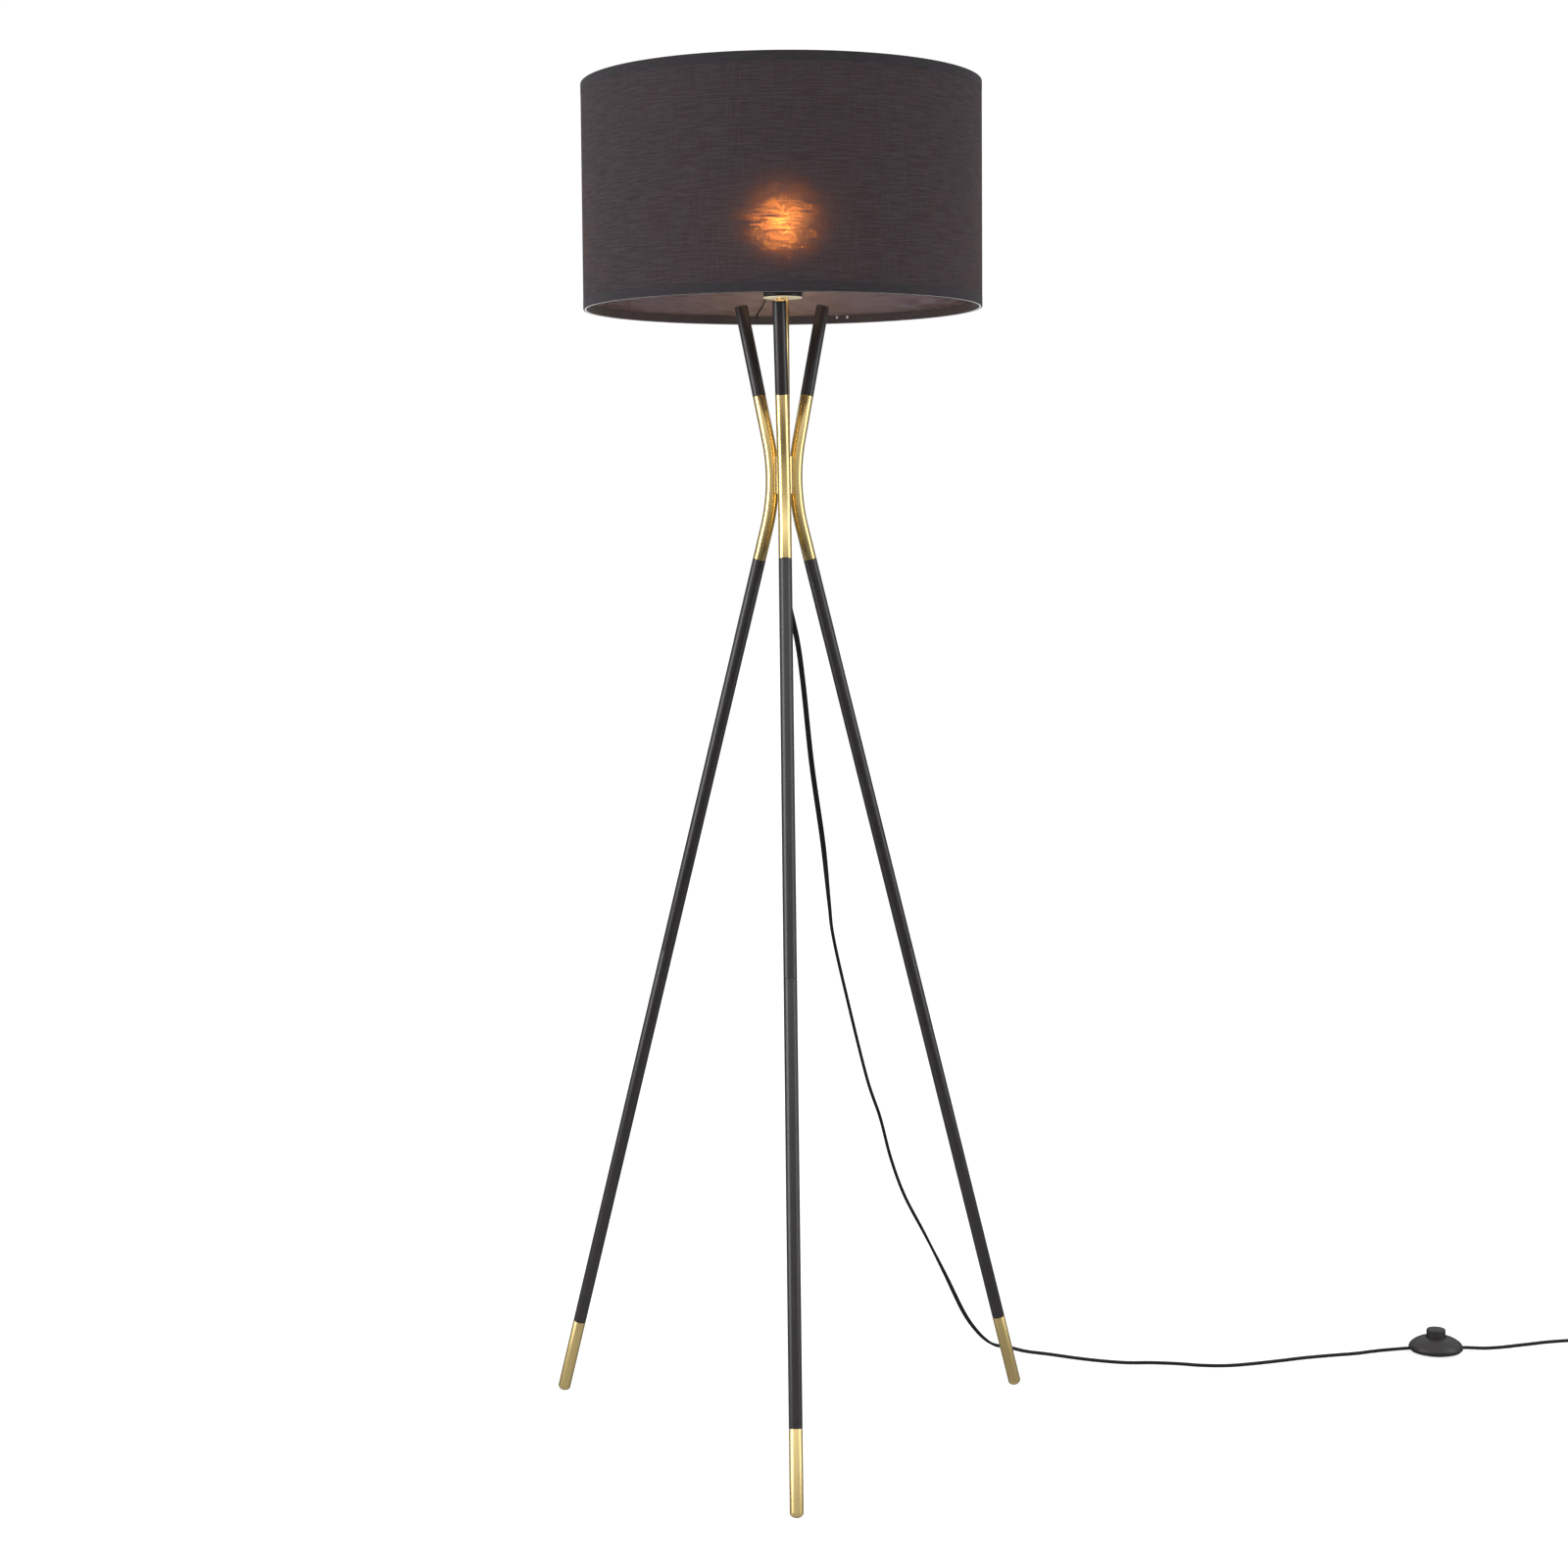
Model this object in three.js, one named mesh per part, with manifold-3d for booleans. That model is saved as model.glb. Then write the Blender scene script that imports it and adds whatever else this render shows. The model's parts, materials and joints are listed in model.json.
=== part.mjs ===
// Tripod floor lamp: three bent tube legs round a brass stem, a drum shade, and a flat cord with a foot
// switch. Millimetres, +Z up. The origin is on the floor, in the middle of the lamp's own bounding box, and
// the front leg points along -Y. Every piece is placed about the stem's axis; the last lines move it all.
import * as THREE from "three";
import { mergeVertices } from "three/addons/utils/BufferGeometryUtils.js";
import Module from "manifold-3d";

const wasm = await Module();
wasm.setup();

// ---- Driving dimensions ----
const GAP = 0.3; // between pieces that touch
const SIDES = 16; // facets round a tube

// Legs: each is a tube bent once, in a plane through the lamp's axis.
const TUBE = { outer: 7.5, bore: 6.2, spigot: 5.9, spigotBore: 4.6 };
const CORNER = { r: 9.2, z: 1094 }; // where a leg's two straight lines would cross
const LOWER_LEAN = THREE.MathUtils.degToRad(15.8);
const UPPER_LEAN = THREE.MathUtils.degToRad(12.7);
const BEND_RADIUS = 202;
// Distances along a leg from its corner.
const LEG = { top: 206.5, brassTop: 102, brassEnd: 89, section: 565, foot: 1045 };
const DOME = 5.5; // height of the foot's domed end
const SOLE_CUT = 0.35; // how much of the dome the floor cuts off as a flat
const LEG_NAMES = ["front", "right", "left"];
// How far each leg's upper part is turned about its lower tube.
const LEG_TURNS = [2.8, -1.6, 0].map(THREE.MathUtils.degToRad);

// Hub and stem.
const HUB = { z: 1103.5, radius: 11.5, half: 21.5, bore: 3.5 };
const STEM = { outer: 7, bore: 5, bottom: 1012, top: 1302 };
const SPIGOT_R = STEM.bore - GAP;
const WIRE_BORE = 3.3;
const WIRE_R = 2.9;

// Lampholder and bulb.
const PLATE = { radius: 22.3, thick: 1.2 };
const HOLDER = { flange: 22, thread: 19.6, top: 1342, wall: 2.1 };
const SHELL = { outer: 14, inner: 13.4 };
const BULB = { cap: 13, radius: 30, centre: 1396, tip: 1319.3 };

// Shade.
const SHADE = { radius: 225, bottom: 1290, top: 1540, cloth: 0.8, liner: 0.6 };
const SHADE_SIDES = 48;
const HEM = { inner: 217.8, thick: 0.6, tall: 10 };
const RING = { radius: 221, wire: 2, inset: 3 };
const ARM = { wire: 1.3, start: 26.5, knee: 150, kneeRise: 2 };
const ARM_AZIMUTHS = [97.5, 217.5, 337.5];
const RIVET = { azimuth: 71.25, across: [2, -11], z: 1297, head: 2.2 };

// Foot switch.
const SWITCH = { x: 820.5, y: 277, radius: 34, base: 24, seam: 5, dome: 20 };
const BUTTON = { radius: 12, top: 30, flange: 14 };

// Cord: flat two-core flex. Its solid is a round tube of the flex's thickness.
const CORD_R = 1.75;
const FLOOR = 1.85; // height of the cord's centre where it lies on the floor
const COIL = { x: 1075, y: 361.5, outer: 40.5, inner: 33.5, lift: 0.95 };
const PLUG = { x: 1140, y: 321, length: 36, width: 35, height: 13.6, pinGap: 18.6 };

const BLACK = { color: 0x1d1a1c, roughness: 0.42, metalness: 0.2 };
const BRASS = { color: 0xb8945a, roughness: 0.28, metalness: 1 };
const FOOT_BRASS = { color: 0xbfa160, roughness: 0.36, metalness: 1 };
const STEEL = { color: 0x9a9a98, roughness: 0.35, metalness: 1 };
const PLASTIC = { color: 0x1a191b, roughness: 0.5, metalness: 0 };
const FLEX = { color: 0x19191b, roughness: 0.55, metalness: 0 };
const CLOTH = { color: 0x35313a, roughness: 0.95, metalness: 0 };
const LINER = { color: 0x8c7d78, roughness: 0.8, metalness: 0 };
const PORCELAIN = { color: 0xe4e0d6, roughness: 0.3, metalness: 0 };
const GLASS = { color: 0xfff2dc, roughness: 0.2, metalness: 0 };

// ---- Tools ----

/** A closed three.js geometry as a manifold-3d solid. */
function toSolid(geometry) {
  const bare = geometry.clone();
  bare.deleteAttribute("normal");
  bare.deleteAttribute("uv");
  const merged = mergeVertices(bare, 1e-4);
  const whole = [];
  for (let i = 0; i < merged.index.count; i += 3) {
    const [a, b, c] = merged.index.array.slice(i, i + 3);
    if (a !== b && b !== c && c !== a) whole.push(a, b, c);
  }
  return new wasm.Manifold(
    new wasm.Mesh({
      numProp: 3,
      vertProperties: new Float32Array(merged.attributes.position.array),
      triVerts: new Uint32Array(whole),
    }),
  );
}

function toGeometry(solid) {
  const mesh = solid.getMesh();
  return new THREE.BufferGeometry()
    .setAttribute("position", new THREE.BufferAttribute(new Float32Array(mesh.vertProperties), 3))
    .setIndex(new THREE.BufferAttribute(new Uint32Array(mesh.triVerts), 1));
}

const join = (first, ...rest) =>
  toGeometry(rest.reduce((sum, g) => sum.add(toSolid(g)), toSolid(first)));
const cut = (first, ...rest) =>
  toGeometry(rest.reduce((left, g) => left.subtract(toSolid(g)), toSolid(first)));

/** Turns an outline of [radius, z] points round the Z axis: it starts and ends there, or is a closed loop. */
function revolve(outline, sides = SIDES) {
  const points = outline.map(([r, z]) => new THREE.Vector2(r, z));
  const onAxis = outline[0][0] === 0 && outline.at(-1)[0] === 0;
  if (!onAxis) points.push(points[0].clone());
  if (THREE.ShapeUtils.area(points) < 0) points.reverse();
  return new THREE.LatheGeometry(points, sides).rotateX(Math.PI / 2);
}

const rod = (r, z0, z1, sides) => revolve([[0, z0], [r, z0], [r, z1], [0, z1]], sides);
const pipe = (outer, bore, z0, z1, sides) =>
  revolve([[bore, z0], [outer, z0], [outer, z1], [bore, z1]], sides);

/** Points round a circle of an outline, for a wire ring. */
const round = (r, z, radius, count) =>
  Array.from({ length: count }, (_, i) => {
    const a = (2 * Math.PI * i) / count;
    return [r + radius * Math.cos(a), z + radius * Math.sin(a)];
  });

/** A round bar along a curve. */
function sweep(curve, steps, radius, sides) {
  const section = new THREE.Shape().absarc(0, 0, radius, 0, 2 * Math.PI, false);
  return new THREE.ExtrudeGeometry(section, {
    steps,
    curveSegments: sides / 2,
    bevelEnabled: false,
    extrudePath: curve,
  });
}

const lamp = new THREE.Group(); // about the stem's axis
const cordSet = new THREE.Group(); // the free cord and what is on it

function piece(name, geometry, finish, parent = lamp) {
  const mesh = new THREE.Mesh(geometry, new THREE.MeshStandardMaterial(finish));
  mesh.name = name;
  parent.add(mesh);
  return mesh;
}

// ---- Legs ----

/** The point at a distance from the corner: above it on the upper line, or below it where negative. */
function alongLeg(distance) {
  const lean = distance > 0 ? UPPER_LEAN : LOWER_LEAN;
  return new THREE.Vector3(
    CORNER.r + Math.abs(distance) * Math.sin(lean),
    0,
    CORNER.z + distance * Math.cos(lean),
  );
}

/** Moves a shape made about the Z axis onto a leg's lower line, with its +Z pointing down. */
const ontoLower = (geometry) =>
  geometry.rotateX(Math.PI).rotateY(-LOWER_LEAN).translate(CORNER.r, 0, CORNER.z);

/** Moves a shape made about the Z axis onto a leg's upper line. */
const ontoUpper = (geometry) => geometry.rotateY(UPPER_LEAN).translate(CORNER.r, 0, CORNER.z);

/** Turns part of a leg about the leg's lower line. */
function turnLeg(geometry, angle) {
  const line = new THREE.Vector3(Math.sin(LOWER_LEAN), 0, -Math.cos(LOWER_LEAN));
  return geometry
    .translate(-CORNER.r, 0, -CORNER.z)
    .applyMatrix4(new THREE.Matrix4().makeRotationAxis(line, angle))
    .translate(CORNER.r, 0, CORNER.z);
}

const TURN = LOWER_LEAN + UPPER_LEAN;
const TANGENT = BEND_RADIUS * Math.tan(TURN / 2);
const ARC_START = LEG.brassEnd - TANGENT;
const ARC_LENGTH = BEND_RADIUS * TURN;
const BEND_LENGTH = ARC_START + ARC_LENGTH + LEG.brassTop - TANGENT;
const ARC_STATIONS = Array.from({ length: 9 }, (_, i) => ARC_START + (ARC_LENGTH * i) / 8);

/** A leg's centre line and its heading from the vertical, at a distance up from the bend's lower end. */
function bendAt(distance) {
  const past = distance - ARC_START - ARC_LENGTH;
  if (distance < ARC_START) return [alongLeg(distance - LEG.brassEnd), -LOWER_LEAN];
  if (past > 0) return [alongLeg(TANGENT + past), UPPER_LEAN];
  const heading = (distance - ARC_START) / BEND_RADIUS - LOWER_LEAN;
  const point = alongLeg(-TANGENT);
  point.x += BEND_RADIUS * (Math.cos(LOWER_LEAN) - Math.cos(heading));
  point.z += BEND_RADIUS * (Math.sin(LOWER_LEAN) + Math.sin(heading));
  return [point, heading];
}

/** Turns a closed outline of [distance along the bend, radius] points round a leg's centre line. */
function aroundBend(outline) {
  const points = outline.flatMap(([distance, radius]) => {
    const [centre, heading] = bendAt(distance);
    return Array.from({ length: SIDES }, (_, j) => {
      const a = (2 * Math.PI * j) / SIDES;
      const side = radius * Math.cos(a);
      return [centre.x + side * Math.cos(heading), radius * Math.sin(a), centre.z - side * Math.sin(heading)];
    });
  });
  const faces = outline.flatMap((_, i) => {
    const ring = i * SIDES;
    const next = ((i + 1) % outline.length) * SIDES;
    return Array.from({ length: SIDES }, (_, j) => {
      const k = (j + 1) % SIDES;
      return [ring + j, ring + k, next + k, ring + j, next + k, next + j];
    });
  });
  return new THREE.BufferGeometry()
    .setAttribute("position", new THREE.BufferAttribute(new Float32Array(points.flat()), 3))
    .setIndex(faces.flat());
}

/** A brass leg bend with a spigot at each end that enters the neighbouring tube. */
function legBend() {
  const { outer, spigot, spigotBore } = TUBE;
  return aroundBend([
    [-14, spigotBore], [-14, spigot - 0.8], [-13, spigot], [0, spigot], [0, outer],
    ...ARC_STATIONS.map((distance) => [distance, outer]),
    [BEND_LENGTH, outer], [BEND_LENGTH, spigot], [BEND_LENGTH + 13, spigot],
    [BEND_LENGTH + 14, spigot - 0.8], [BEND_LENGTH + 14, spigotBore],
    ...ARC_STATIONS.map((distance) => [distance, spigotBore]).reverse(),
  ]);
}

/** The room a leg's bend needs in the hub. */
const bendRoom = () =>
  aroundBend([
    [0, 0], [0, TUBE.outer + GAP],
    ...ARC_STATIONS.map((distance) => [distance, TUBE.outer + GAP]),
    [BEND_LENGTH, TUBE.outer + GAP], [BEND_LENGTH, 0],
  ]);

/** The end cap of an upper tube: a flat disc with a plug below it. */
const legCap = () =>
  revolve([
    [0, LEG.top - 8], [TUBE.spigot, LEG.top - 8], [TUBE.spigot, LEG.top - 1.2],
    [TUBE.outer, LEG.top - 1.2], [TUBE.outer, LEG.top - 0.4], [TUBE.outer - 0.4, LEG.top],
    [0, LEG.top],
  ]);

/** A brass foot: a spigot, a straight ferrule and a domed end that stands on a small flat. */
function foot() {
  const lean = LOWER_LEAN;
  const support = Math.hypot(TUBE.outer * Math.sin(lean), DOME * Math.cos(lean));
  const centre = (CORNER.z - support + SOLE_CUT) / Math.cos(lean);
  const start = LEG.foot + GAP / 2;
  const outline = [
    [0, start - 18], [TUBE.spigot - 0.8, start - 18], [TUBE.spigot, start - 17],
    [TUBE.spigot, start], [TUBE.outer, start],
  ];
  const steps = 5;
  for (let i = 0; i < steps; i++) {
    const a = (Math.PI / 2) * (i / steps);
    outline.push([TUBE.outer * Math.cos(a), centre + DOME * Math.sin(a)]);
  }
  outline.push([0, centre + DOME]);
  const floor = new THREE.BoxGeometry(60, 60, 20).translate(footReach(), 0, -10);
  return cut(ontoLower(revolve(outline)), floor);
}

/** How far from the lamp's axis a leg's line meets the floor. */
const footReach = () => CORNER.r + CORNER.z * Math.tan(LOWER_LEAN);

LEG_NAMES.forEach((name, i) => {
  const leg = new THREE.Group();
  leg.rotation.z = THREE.MathUtils.degToRad(-90 + 120 * i);
  lamp.add(leg);
  const half = GAP / 2;
  piece(`leg_bend_${name}`, turnLeg(legBend(), LEG_TURNS[i]), BRASS, leg);
  const upper = pipe(TUBE.outer, TUBE.bore, LEG.brassTop + half, LEG.top - 1.2 - GAP);
  piece(`upper_tube_${name}`, turnLeg(ontoUpper(upper), LEG_TURNS[i]), BLACK, leg);
  piece(`tube_cap_${name}`, turnLeg(ontoUpper(legCap()), LEG_TURNS[i]), BLACK, leg);
  const middle = pipe(TUBE.outer, TUBE.bore, LEG.brassEnd + half, LEG.section - half);
  piece(`middle_tube_${name}`, ontoLower(middle), BLACK, leg);
  const stud = rod(TUBE.spigot, LEG.section - 16, LEG.section + 16);
  piece(`joint_stud_${name}`, ontoLower(stud), STEEL, leg);
  const lower = pipe(TUBE.outer, TUBE.bore, LEG.section + half, LEG.foot - half);
  piece(`lower_tube_${name}`, ontoLower(lower), BLACK, leg);
  piece(`foot_${name}`, foot(), FOOT_BRASS, leg);
});

// ---- Hub and stem ----

/** The brass hub that the bends are brazed to: a drum with a groove for each leg and a spigot at each end. */
function waistHub() {
  const { radius, half, bore } = HUB;
  const [low, high] = [HUB.z - half, HUB.z + half];
  const drum = revolve([
    [bore, low - 12], [SPIGOT_R, low - 12], [SPIGOT_R, low], [radius - 1, low], [radius, low + 1],
    [radius, high - 1], [radius - 1, high], [SPIGOT_R, high], [SPIGOT_R, high + 12], [bore, high + 12],
  ]);
  const grooves = LEG_TURNS.map((angle, i) =>
    turnLeg(bendRoom(), angle).rotateZ(THREE.MathUtils.degToRad(-90 + 120 * i)),
  );
  return cut(drum, ...grooves);
}

piece("waist_hub", waistHub(), BRASS);
piece("stem_upper", pipe(STEM.outer, STEM.bore, HUB.z + HUB.half + GAP, STEM.top), BRASS);
piece("stem_lower", pipe(STEM.outer, STEM.bore, STEM.bottom, HUB.z - HUB.half - GAP), BRASS);

const glandFace = STEM.bottom - GAP - 4.7;
piece(
  "stem_gland",
  revolve([
    [WIRE_BORE, glandFace], [STEM.outer - 1, glandFace], [STEM.outer, glandFace + 1],
    [STEM.outer, STEM.bottom - GAP], [SPIGOT_R, STEM.bottom - GAP], [SPIGOT_R, STEM.bottom + 12],
    [WIRE_BORE, STEM.bottom + 12],
  ]),
  PLASTIC,
);
piece("threaded_nipple", pipe(SPIGOT_R, WIRE_BORE, STEM.top - 21, STEM.top + 6.4), STEEL);
piece("stem_cord", rod(WIRE_R, glandFace + GAP, STEM.top + 6, 16), FLEX);

// ---- Lampholder ----

const plateBase = STEM.top + GAP;
const holderBase = plateBase + PLATE.thick + GAP;
const flangeTop = holderBase + 5.6;
piece(
  "socket_plate",
  revolve([
    [STEM.bore, plateBase], [PLATE.radius - 0.4, plateBase], [PLATE.radius, plateBase + 0.4],
    [PLATE.radius, plateBase + PLATE.thick], [STEM.bore, plateBase + PLATE.thick],
  ], 32),
  BRASS,
);
piece(
  "lampholder_skirt",
  revolve([
    [STEM.bore, holderBase], [HOLDER.flange - 0.8, holderBase], [HOLDER.flange, holderBase + 0.8],
    [HOLDER.flange, flangeTop - 0.8], [HOLDER.flange - 0.8, flangeTop], [HOLDER.thread, flangeTop],
    [HOLDER.thread, HOLDER.top - 1], [HOLDER.thread - 0.8, HOLDER.top],
    [HOLDER.thread - HOLDER.wall, HOLDER.top], [HOLDER.thread - HOLDER.wall, holderBase + 4.7],
    [STEM.bore, holderBase + 4.7],
  ], 32),
  PLASTIC,
);
const coreBase = holderBase + 5;
const coreFloor = coreBase + 7;
piece(
  "lampholder_core",
  revolve([
    [0, coreBase], [17.2, coreBase], [17.2, HOLDER.top - 1], [SHELL.outer + GAP, HOLDER.top - 1],
    [SHELL.outer + GAP, coreFloor], [0, coreFloor],
  ], 24),
  PORCELAIN,
);
piece(
  "thread_shell",
  pipe(SHELL.outer, SHELL.inner, coreFloor + GAP, HOLDER.top - 1.5, 24),
  BRASS,
);
piece("centre_contact", rod(3, coreFloor + GAP, coreFloor + 2.7, 12), BRASS);

// ---- Bulb ----

/** The bulb's outer radius from its neck up to its crown; inset makes the inside of the glass. */
function bulbOutline(inset) {
  const { radius, centre } = BULB;
  const points = [[12.1 - inset, 1336], [12.1 - inset, 1345], [14 - inset, 1351], [20 - inset, 1366]];
  const steps = 7;
  for (let i = 0; i < steps; i++) {
    const a = -0.45 + (Math.PI / 2 + 0.45) * (i / steps);
    points.push([(radius - inset) * Math.cos(a), centre + (radius - inset) * Math.sin(a)]);
  }
  points.push([0, centre + radius - inset]);
  return points;
}

piece("bulb_glass", revolve([...bulbOutline(0), ...bulbOutline(1).reverse()]), GLASS);
piece(
  "bulb_cap",
  revolve([
    [12.5, 1321.8], [BULB.cap, 1322.6], [BULB.cap, 1343.6], [BULB.cap - 0.5, 1344.4],
    [12.5, 1344.4],
  ], 24),
  STEEL,
);
piece(
  "bulb_tip",
  revolve([[0, BULB.tip], [4.5, BULB.tip], [5, BULB.tip + 0.5], [10.8, 1321.5], [0, 1321.5]], 16),
  PORCELAIN,
);
piece(
  "bulb_filament",
  revolve([
    [0, 1322.3], [11.5, 1322.3], [11.5, 1334], [4.5, 1340], [3.5, 1366], [5.5, 1376], [5.5, 1402],
    [3, 1406], [0, 1406],
  ], 12),
  GLASS,
);

// ---- Shade ----

const ringZ = SHADE.bottom + RING.inset;
const spiderZ = flangeTop + GAP + ARM.wire;

/** One spider arm's centre line: level from the centre ring, then down to the bottom ring. */
function armCurve(azimuth) {
  const a = THREE.MathUtils.degToRad(azimuth);
  const at = (r, z) => new THREE.Vector3(r * Math.cos(a), r * Math.sin(a), z);
  const knee = spiderZ + ARM.kneeRise;
  return new THREE.CatmullRomCurve3(
    [
      at(ARM.start, spiderZ), at(60, spiderZ + 0.7), at(105, spiderZ + 1.4), at(ARM.knee - 14, knee),
      at(ARM.knee + 4, knee - 2.5), at(186, 1305), at(213, 1301.4), at(RING.radius, ringZ),
    ],
    false,
    "catmullrom",
    0.5,
  );
}

/** The wire spider: centre ring, three arms and bottom ring, welded into one piece. */
function shadeSpider() {
  const centre = pipe(27.5, HOLDER.thread + 0.4, spiderZ - ARM.wire, spiderZ - ARM.wire + 1.4, 32);
  const bottom = revolve(round(RING.radius, ringZ, RING.wire, 6), SHADE_SIDES);
  const arms = ARM_AZIMUTHS.map((azimuth) => sweep(armCurve(azimuth), 12, ARM.wire, 6));
  return join(centre, bottom, ...arms);
}

/** A hem: the cloth folded over an edge and down the inside. */
function hem(edge, inward) {
  const { inner, thick, tall } = HEM;
  return revolve([
    [inner, edge], [SHADE.radius, edge], [SHADE.radius, edge + inward * thick],
    [inner + thick, edge + inward * thick], [inner + thick, edge + inward * tall],
    [inner, edge + inward * tall],
  ], SHADE_SIDES);
}

/** Turns a rivet's shape, made about the X axis, to its place on the seam at the back of the bottom hem. */
const atSeam = (shape, across) =>
  shape
    .rotateY(Math.PI / 2)
    .translate(0, across, RIVET.z)
    .rotateZ(THREE.MathUtils.degToRad(RIVET.azimuth));

const HEM_FLAT = HEM.inner * Math.cos(Math.PI / SHADE_SIDES);

/** A rivet with its head towards the lamp's axis. */
function rivet() {
  const head = HEM_FLAT - GAP;
  const tail = HEM_FLAT + HEM.thick + 0.8;
  return revolve([
    [0, head - 0.9], [RIVET.head - 0.6, head - 0.9], [RIVET.head, head - 0.2], [RIVET.head, head],
    [0.9, head], [0.9, tail], [0, tail],
  ], 12);
}

const clothInner = SHADE.radius - SHADE.cloth;
const linerOuter = clothInner - GAP;
const edgeGap = HEM.thick + GAP;
piece(
  "shade_fabric",
  pipe(SHADE.radius, clothInner, SHADE.bottom + edgeGap, SHADE.top - edgeGap, SHADE_SIDES),
  CLOTH,
);
piece(
  "shade_liner",
  pipe(linerOuter, linerOuter - SHADE.liner, SHADE.bottom + edgeGap, SHADE.top - edgeGap, SHADE_SIDES),
  LINER,
);
const armHoles = ARM_AZIMUTHS.map((azimuth) =>
  sweep(armCurve(azimuth), 12, ARM.wire + 0.4, 6),
);
const rivetHoles = RIVET.across.map((across) =>
  atSeam(rod(1.3, HEM.inner - 4, HEM.inner + 4, 12), across),
);
piece("hem_bottom", cut(hem(SHADE.bottom, 1), ...armHoles, ...rivetHoles), CLOTH);
piece("hem_top", hem(SHADE.top, -1), CLOTH);
piece("shade_spider", shadeSpider(), STEEL);
piece(
  "shade_top_ring",
  revolve(round(RING.radius, SHADE.top - RING.inset, RING.wire, 6), SHADE_SIDES),
  STEEL,
);
["left", "right"].forEach((side, i) =>
  piece(`shade_rivet_${side}`, atSeam(rivet(), RIVET.across[i]), STEEL),
);
piece(
  "shade_nut",
  pipe(25.3, HOLDER.thread + 0.4, spiderZ - ARM.wire + 1.4 + GAP, spiderZ + 7, 32),
  PLASTIC,
);

// ---- Foot switch ----

const footSwitch = new THREE.Group();
footSwitch.position.set(SWITCH.x, SWITCH.y, 0);
cordSet.add(footSwitch);
const { seam, dome } = SWITCH;
const wall = 2;
piece(
  "switch_base",
  revolve([
    [0, 0], [SWITCH.base, 0], [31, 2.2], [SWITCH.radius, seam], [SWITCH.radius - wall, seam],
    [30, 3.8], [SWITCH.base - 1, wall], [0, wall],
  ], 32),
  PLASTIC,
  footSwitch,
);
piece(
  "switch_cover",
  revolve([
    [SWITCH.radius - wall, seam + GAP], [SWITCH.radius, seam + GAP], [33.5, 8], [31, 12],
    [26.5, 15.4], [20.5, 18.3], [15.2, dome], [12.6, dome], [12.6, dome - wall], [19.2, 16.2],
    [25, 13.4], [29, 10.2],
  ], 32),
  PLASTIC,
  footSwitch,
);
piece(
  "switch_module",
  new THREE.BoxGeometry(26, 16, 6.4).translate(0, 0, wall + GAP + 3.2),
  PLASTIC,
  footSwitch,
);
const flangeBase = dome - wall - 2; // clear of the cover by about GAP where its underside slopes down
piece(
  "switch_button",
  revolve([
    [9.4, flangeBase], [BUTTON.flange, flangeBase], [BUTTON.flange, flangeBase + 1.2],
    [BUTTON.radius, flangeBase + 1.2], [BUTTON.radius, BUTTON.top - 1], [BUTTON.radius - 1, BUTTON.top],
    [8, BUTTON.top], [0, BUTTON.top - 0.9], [0, BUTTON.top - 3], [9.4, BUTTON.top - 3],
  ], 32),
  PLASTIC,
  footSwitch,
);

/** The button's return spring, a helix between the module and the button. */
class SpringLine extends THREE.Curve {
  getPoint(t, target = new THREE.Vector3()) {
    const [low, high] = [9.8, BUTTON.top - 4.2];
    const a = 2 * Math.PI * 4 * t;
    return target.set(6 * Math.cos(a), 6 * Math.sin(a), low + (high - low) * t);
  }
}
piece("switch_spring", sweep(new SpringLine(), 36, 0.6, 4), STEEL, footSwitch);

// ---- Cord ----

const cordStart = glandFace - GAP;
piece(
  "cord_sleeve",
  revolve([
    [CORD_R + 0.5, cordStart], [5.4, cordStart], [5.4, cordStart - 3], [4.9, cordStart - 4],
    [3.9, cordStart - 25], [CORD_R + 0.5, cordStart - 25],
  ]),
  PLASTIC,
  cordSet,
);

// From the stem's gland, down behind the right-hand leg and over the floor to the foot switch.
const HANGING_ROUTE = [
  [0, 0, cordStart], [0, 0, 992], [0, 0, 978], [4.5, 5, 956], [14, 18, 913], [20.5, 26.5, 863],
  [29.8, 38.4, 771], [42.5, 54.8, 678], [49.6, 64, 606], [54.4, 70.5, 565], [71.1, 91.7, 488],
  [94.9, 122.4, 388], [111.7, 144, 335], [125, 161, 282], [142.8, 184, 230], [170.2, 219.5, 172],
  [196.8, 254, 114], [222, 286, 57], [240, 305, 27], [256, 317, 9], [268, 320.5, 2.6],
  [281, 316, FLOOR], [292, 304.5, FLOOR], [305, 293, FLOOR], [331, 280, FLOOR], [362, 262, FLOOR],
  [392, 248, FLOOR], [423, 238.5, FLOOR], [455, 237, FLOOR], [486, 231.5, FLOOR], [516, 222.5, FLOOR],
  [548, 220.6, FLOOR], [581, 228, FLOOR], [615, 239, FLOOR], [649, 251, FLOOR], [683, 260, FLOOR],
  [717, 267.5, FLOOR], [737, 275, 1.9], [756, 279.5, 2.4], [772, 278.5, 3.9],
  [SWITCH.x - SWITCH.radius - 1, SWITCH.y, seam + GAP / 2],
];
// From the foot switch over the floor to the coil.
const LEAD_ROUTE = [
  [SWITCH.x + SWITCH.radius + 1, SWITCH.y, seam + GAP / 2], [869, 279.5, 3.9], [884, 282.5, 2.5],
  [898, 286, FLOOR], [914, 290, FLOOR], [930, 295.5, FLOOR], [947, 301, FLOOR], [964, 307, FLOOR],
  [981, 311.5, FLOOR], [1000, 315, FLOOR], [1022, 318.5, 2.2], [1040, 320.6, 2.7],
  [COIL.x - 23.6, COIL.y - COIL.outer, 2.8],
];
// From the coil's top turn to the plug.
const TAIL_ROUTE = [
  [COIL.x + 28.4, PLUG.y, 6.2], [COIL.x + 36, PLUG.y, 6.3], [PLUG.x - 20.3, PLUG.y, PLUG.height / 2],
];

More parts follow.
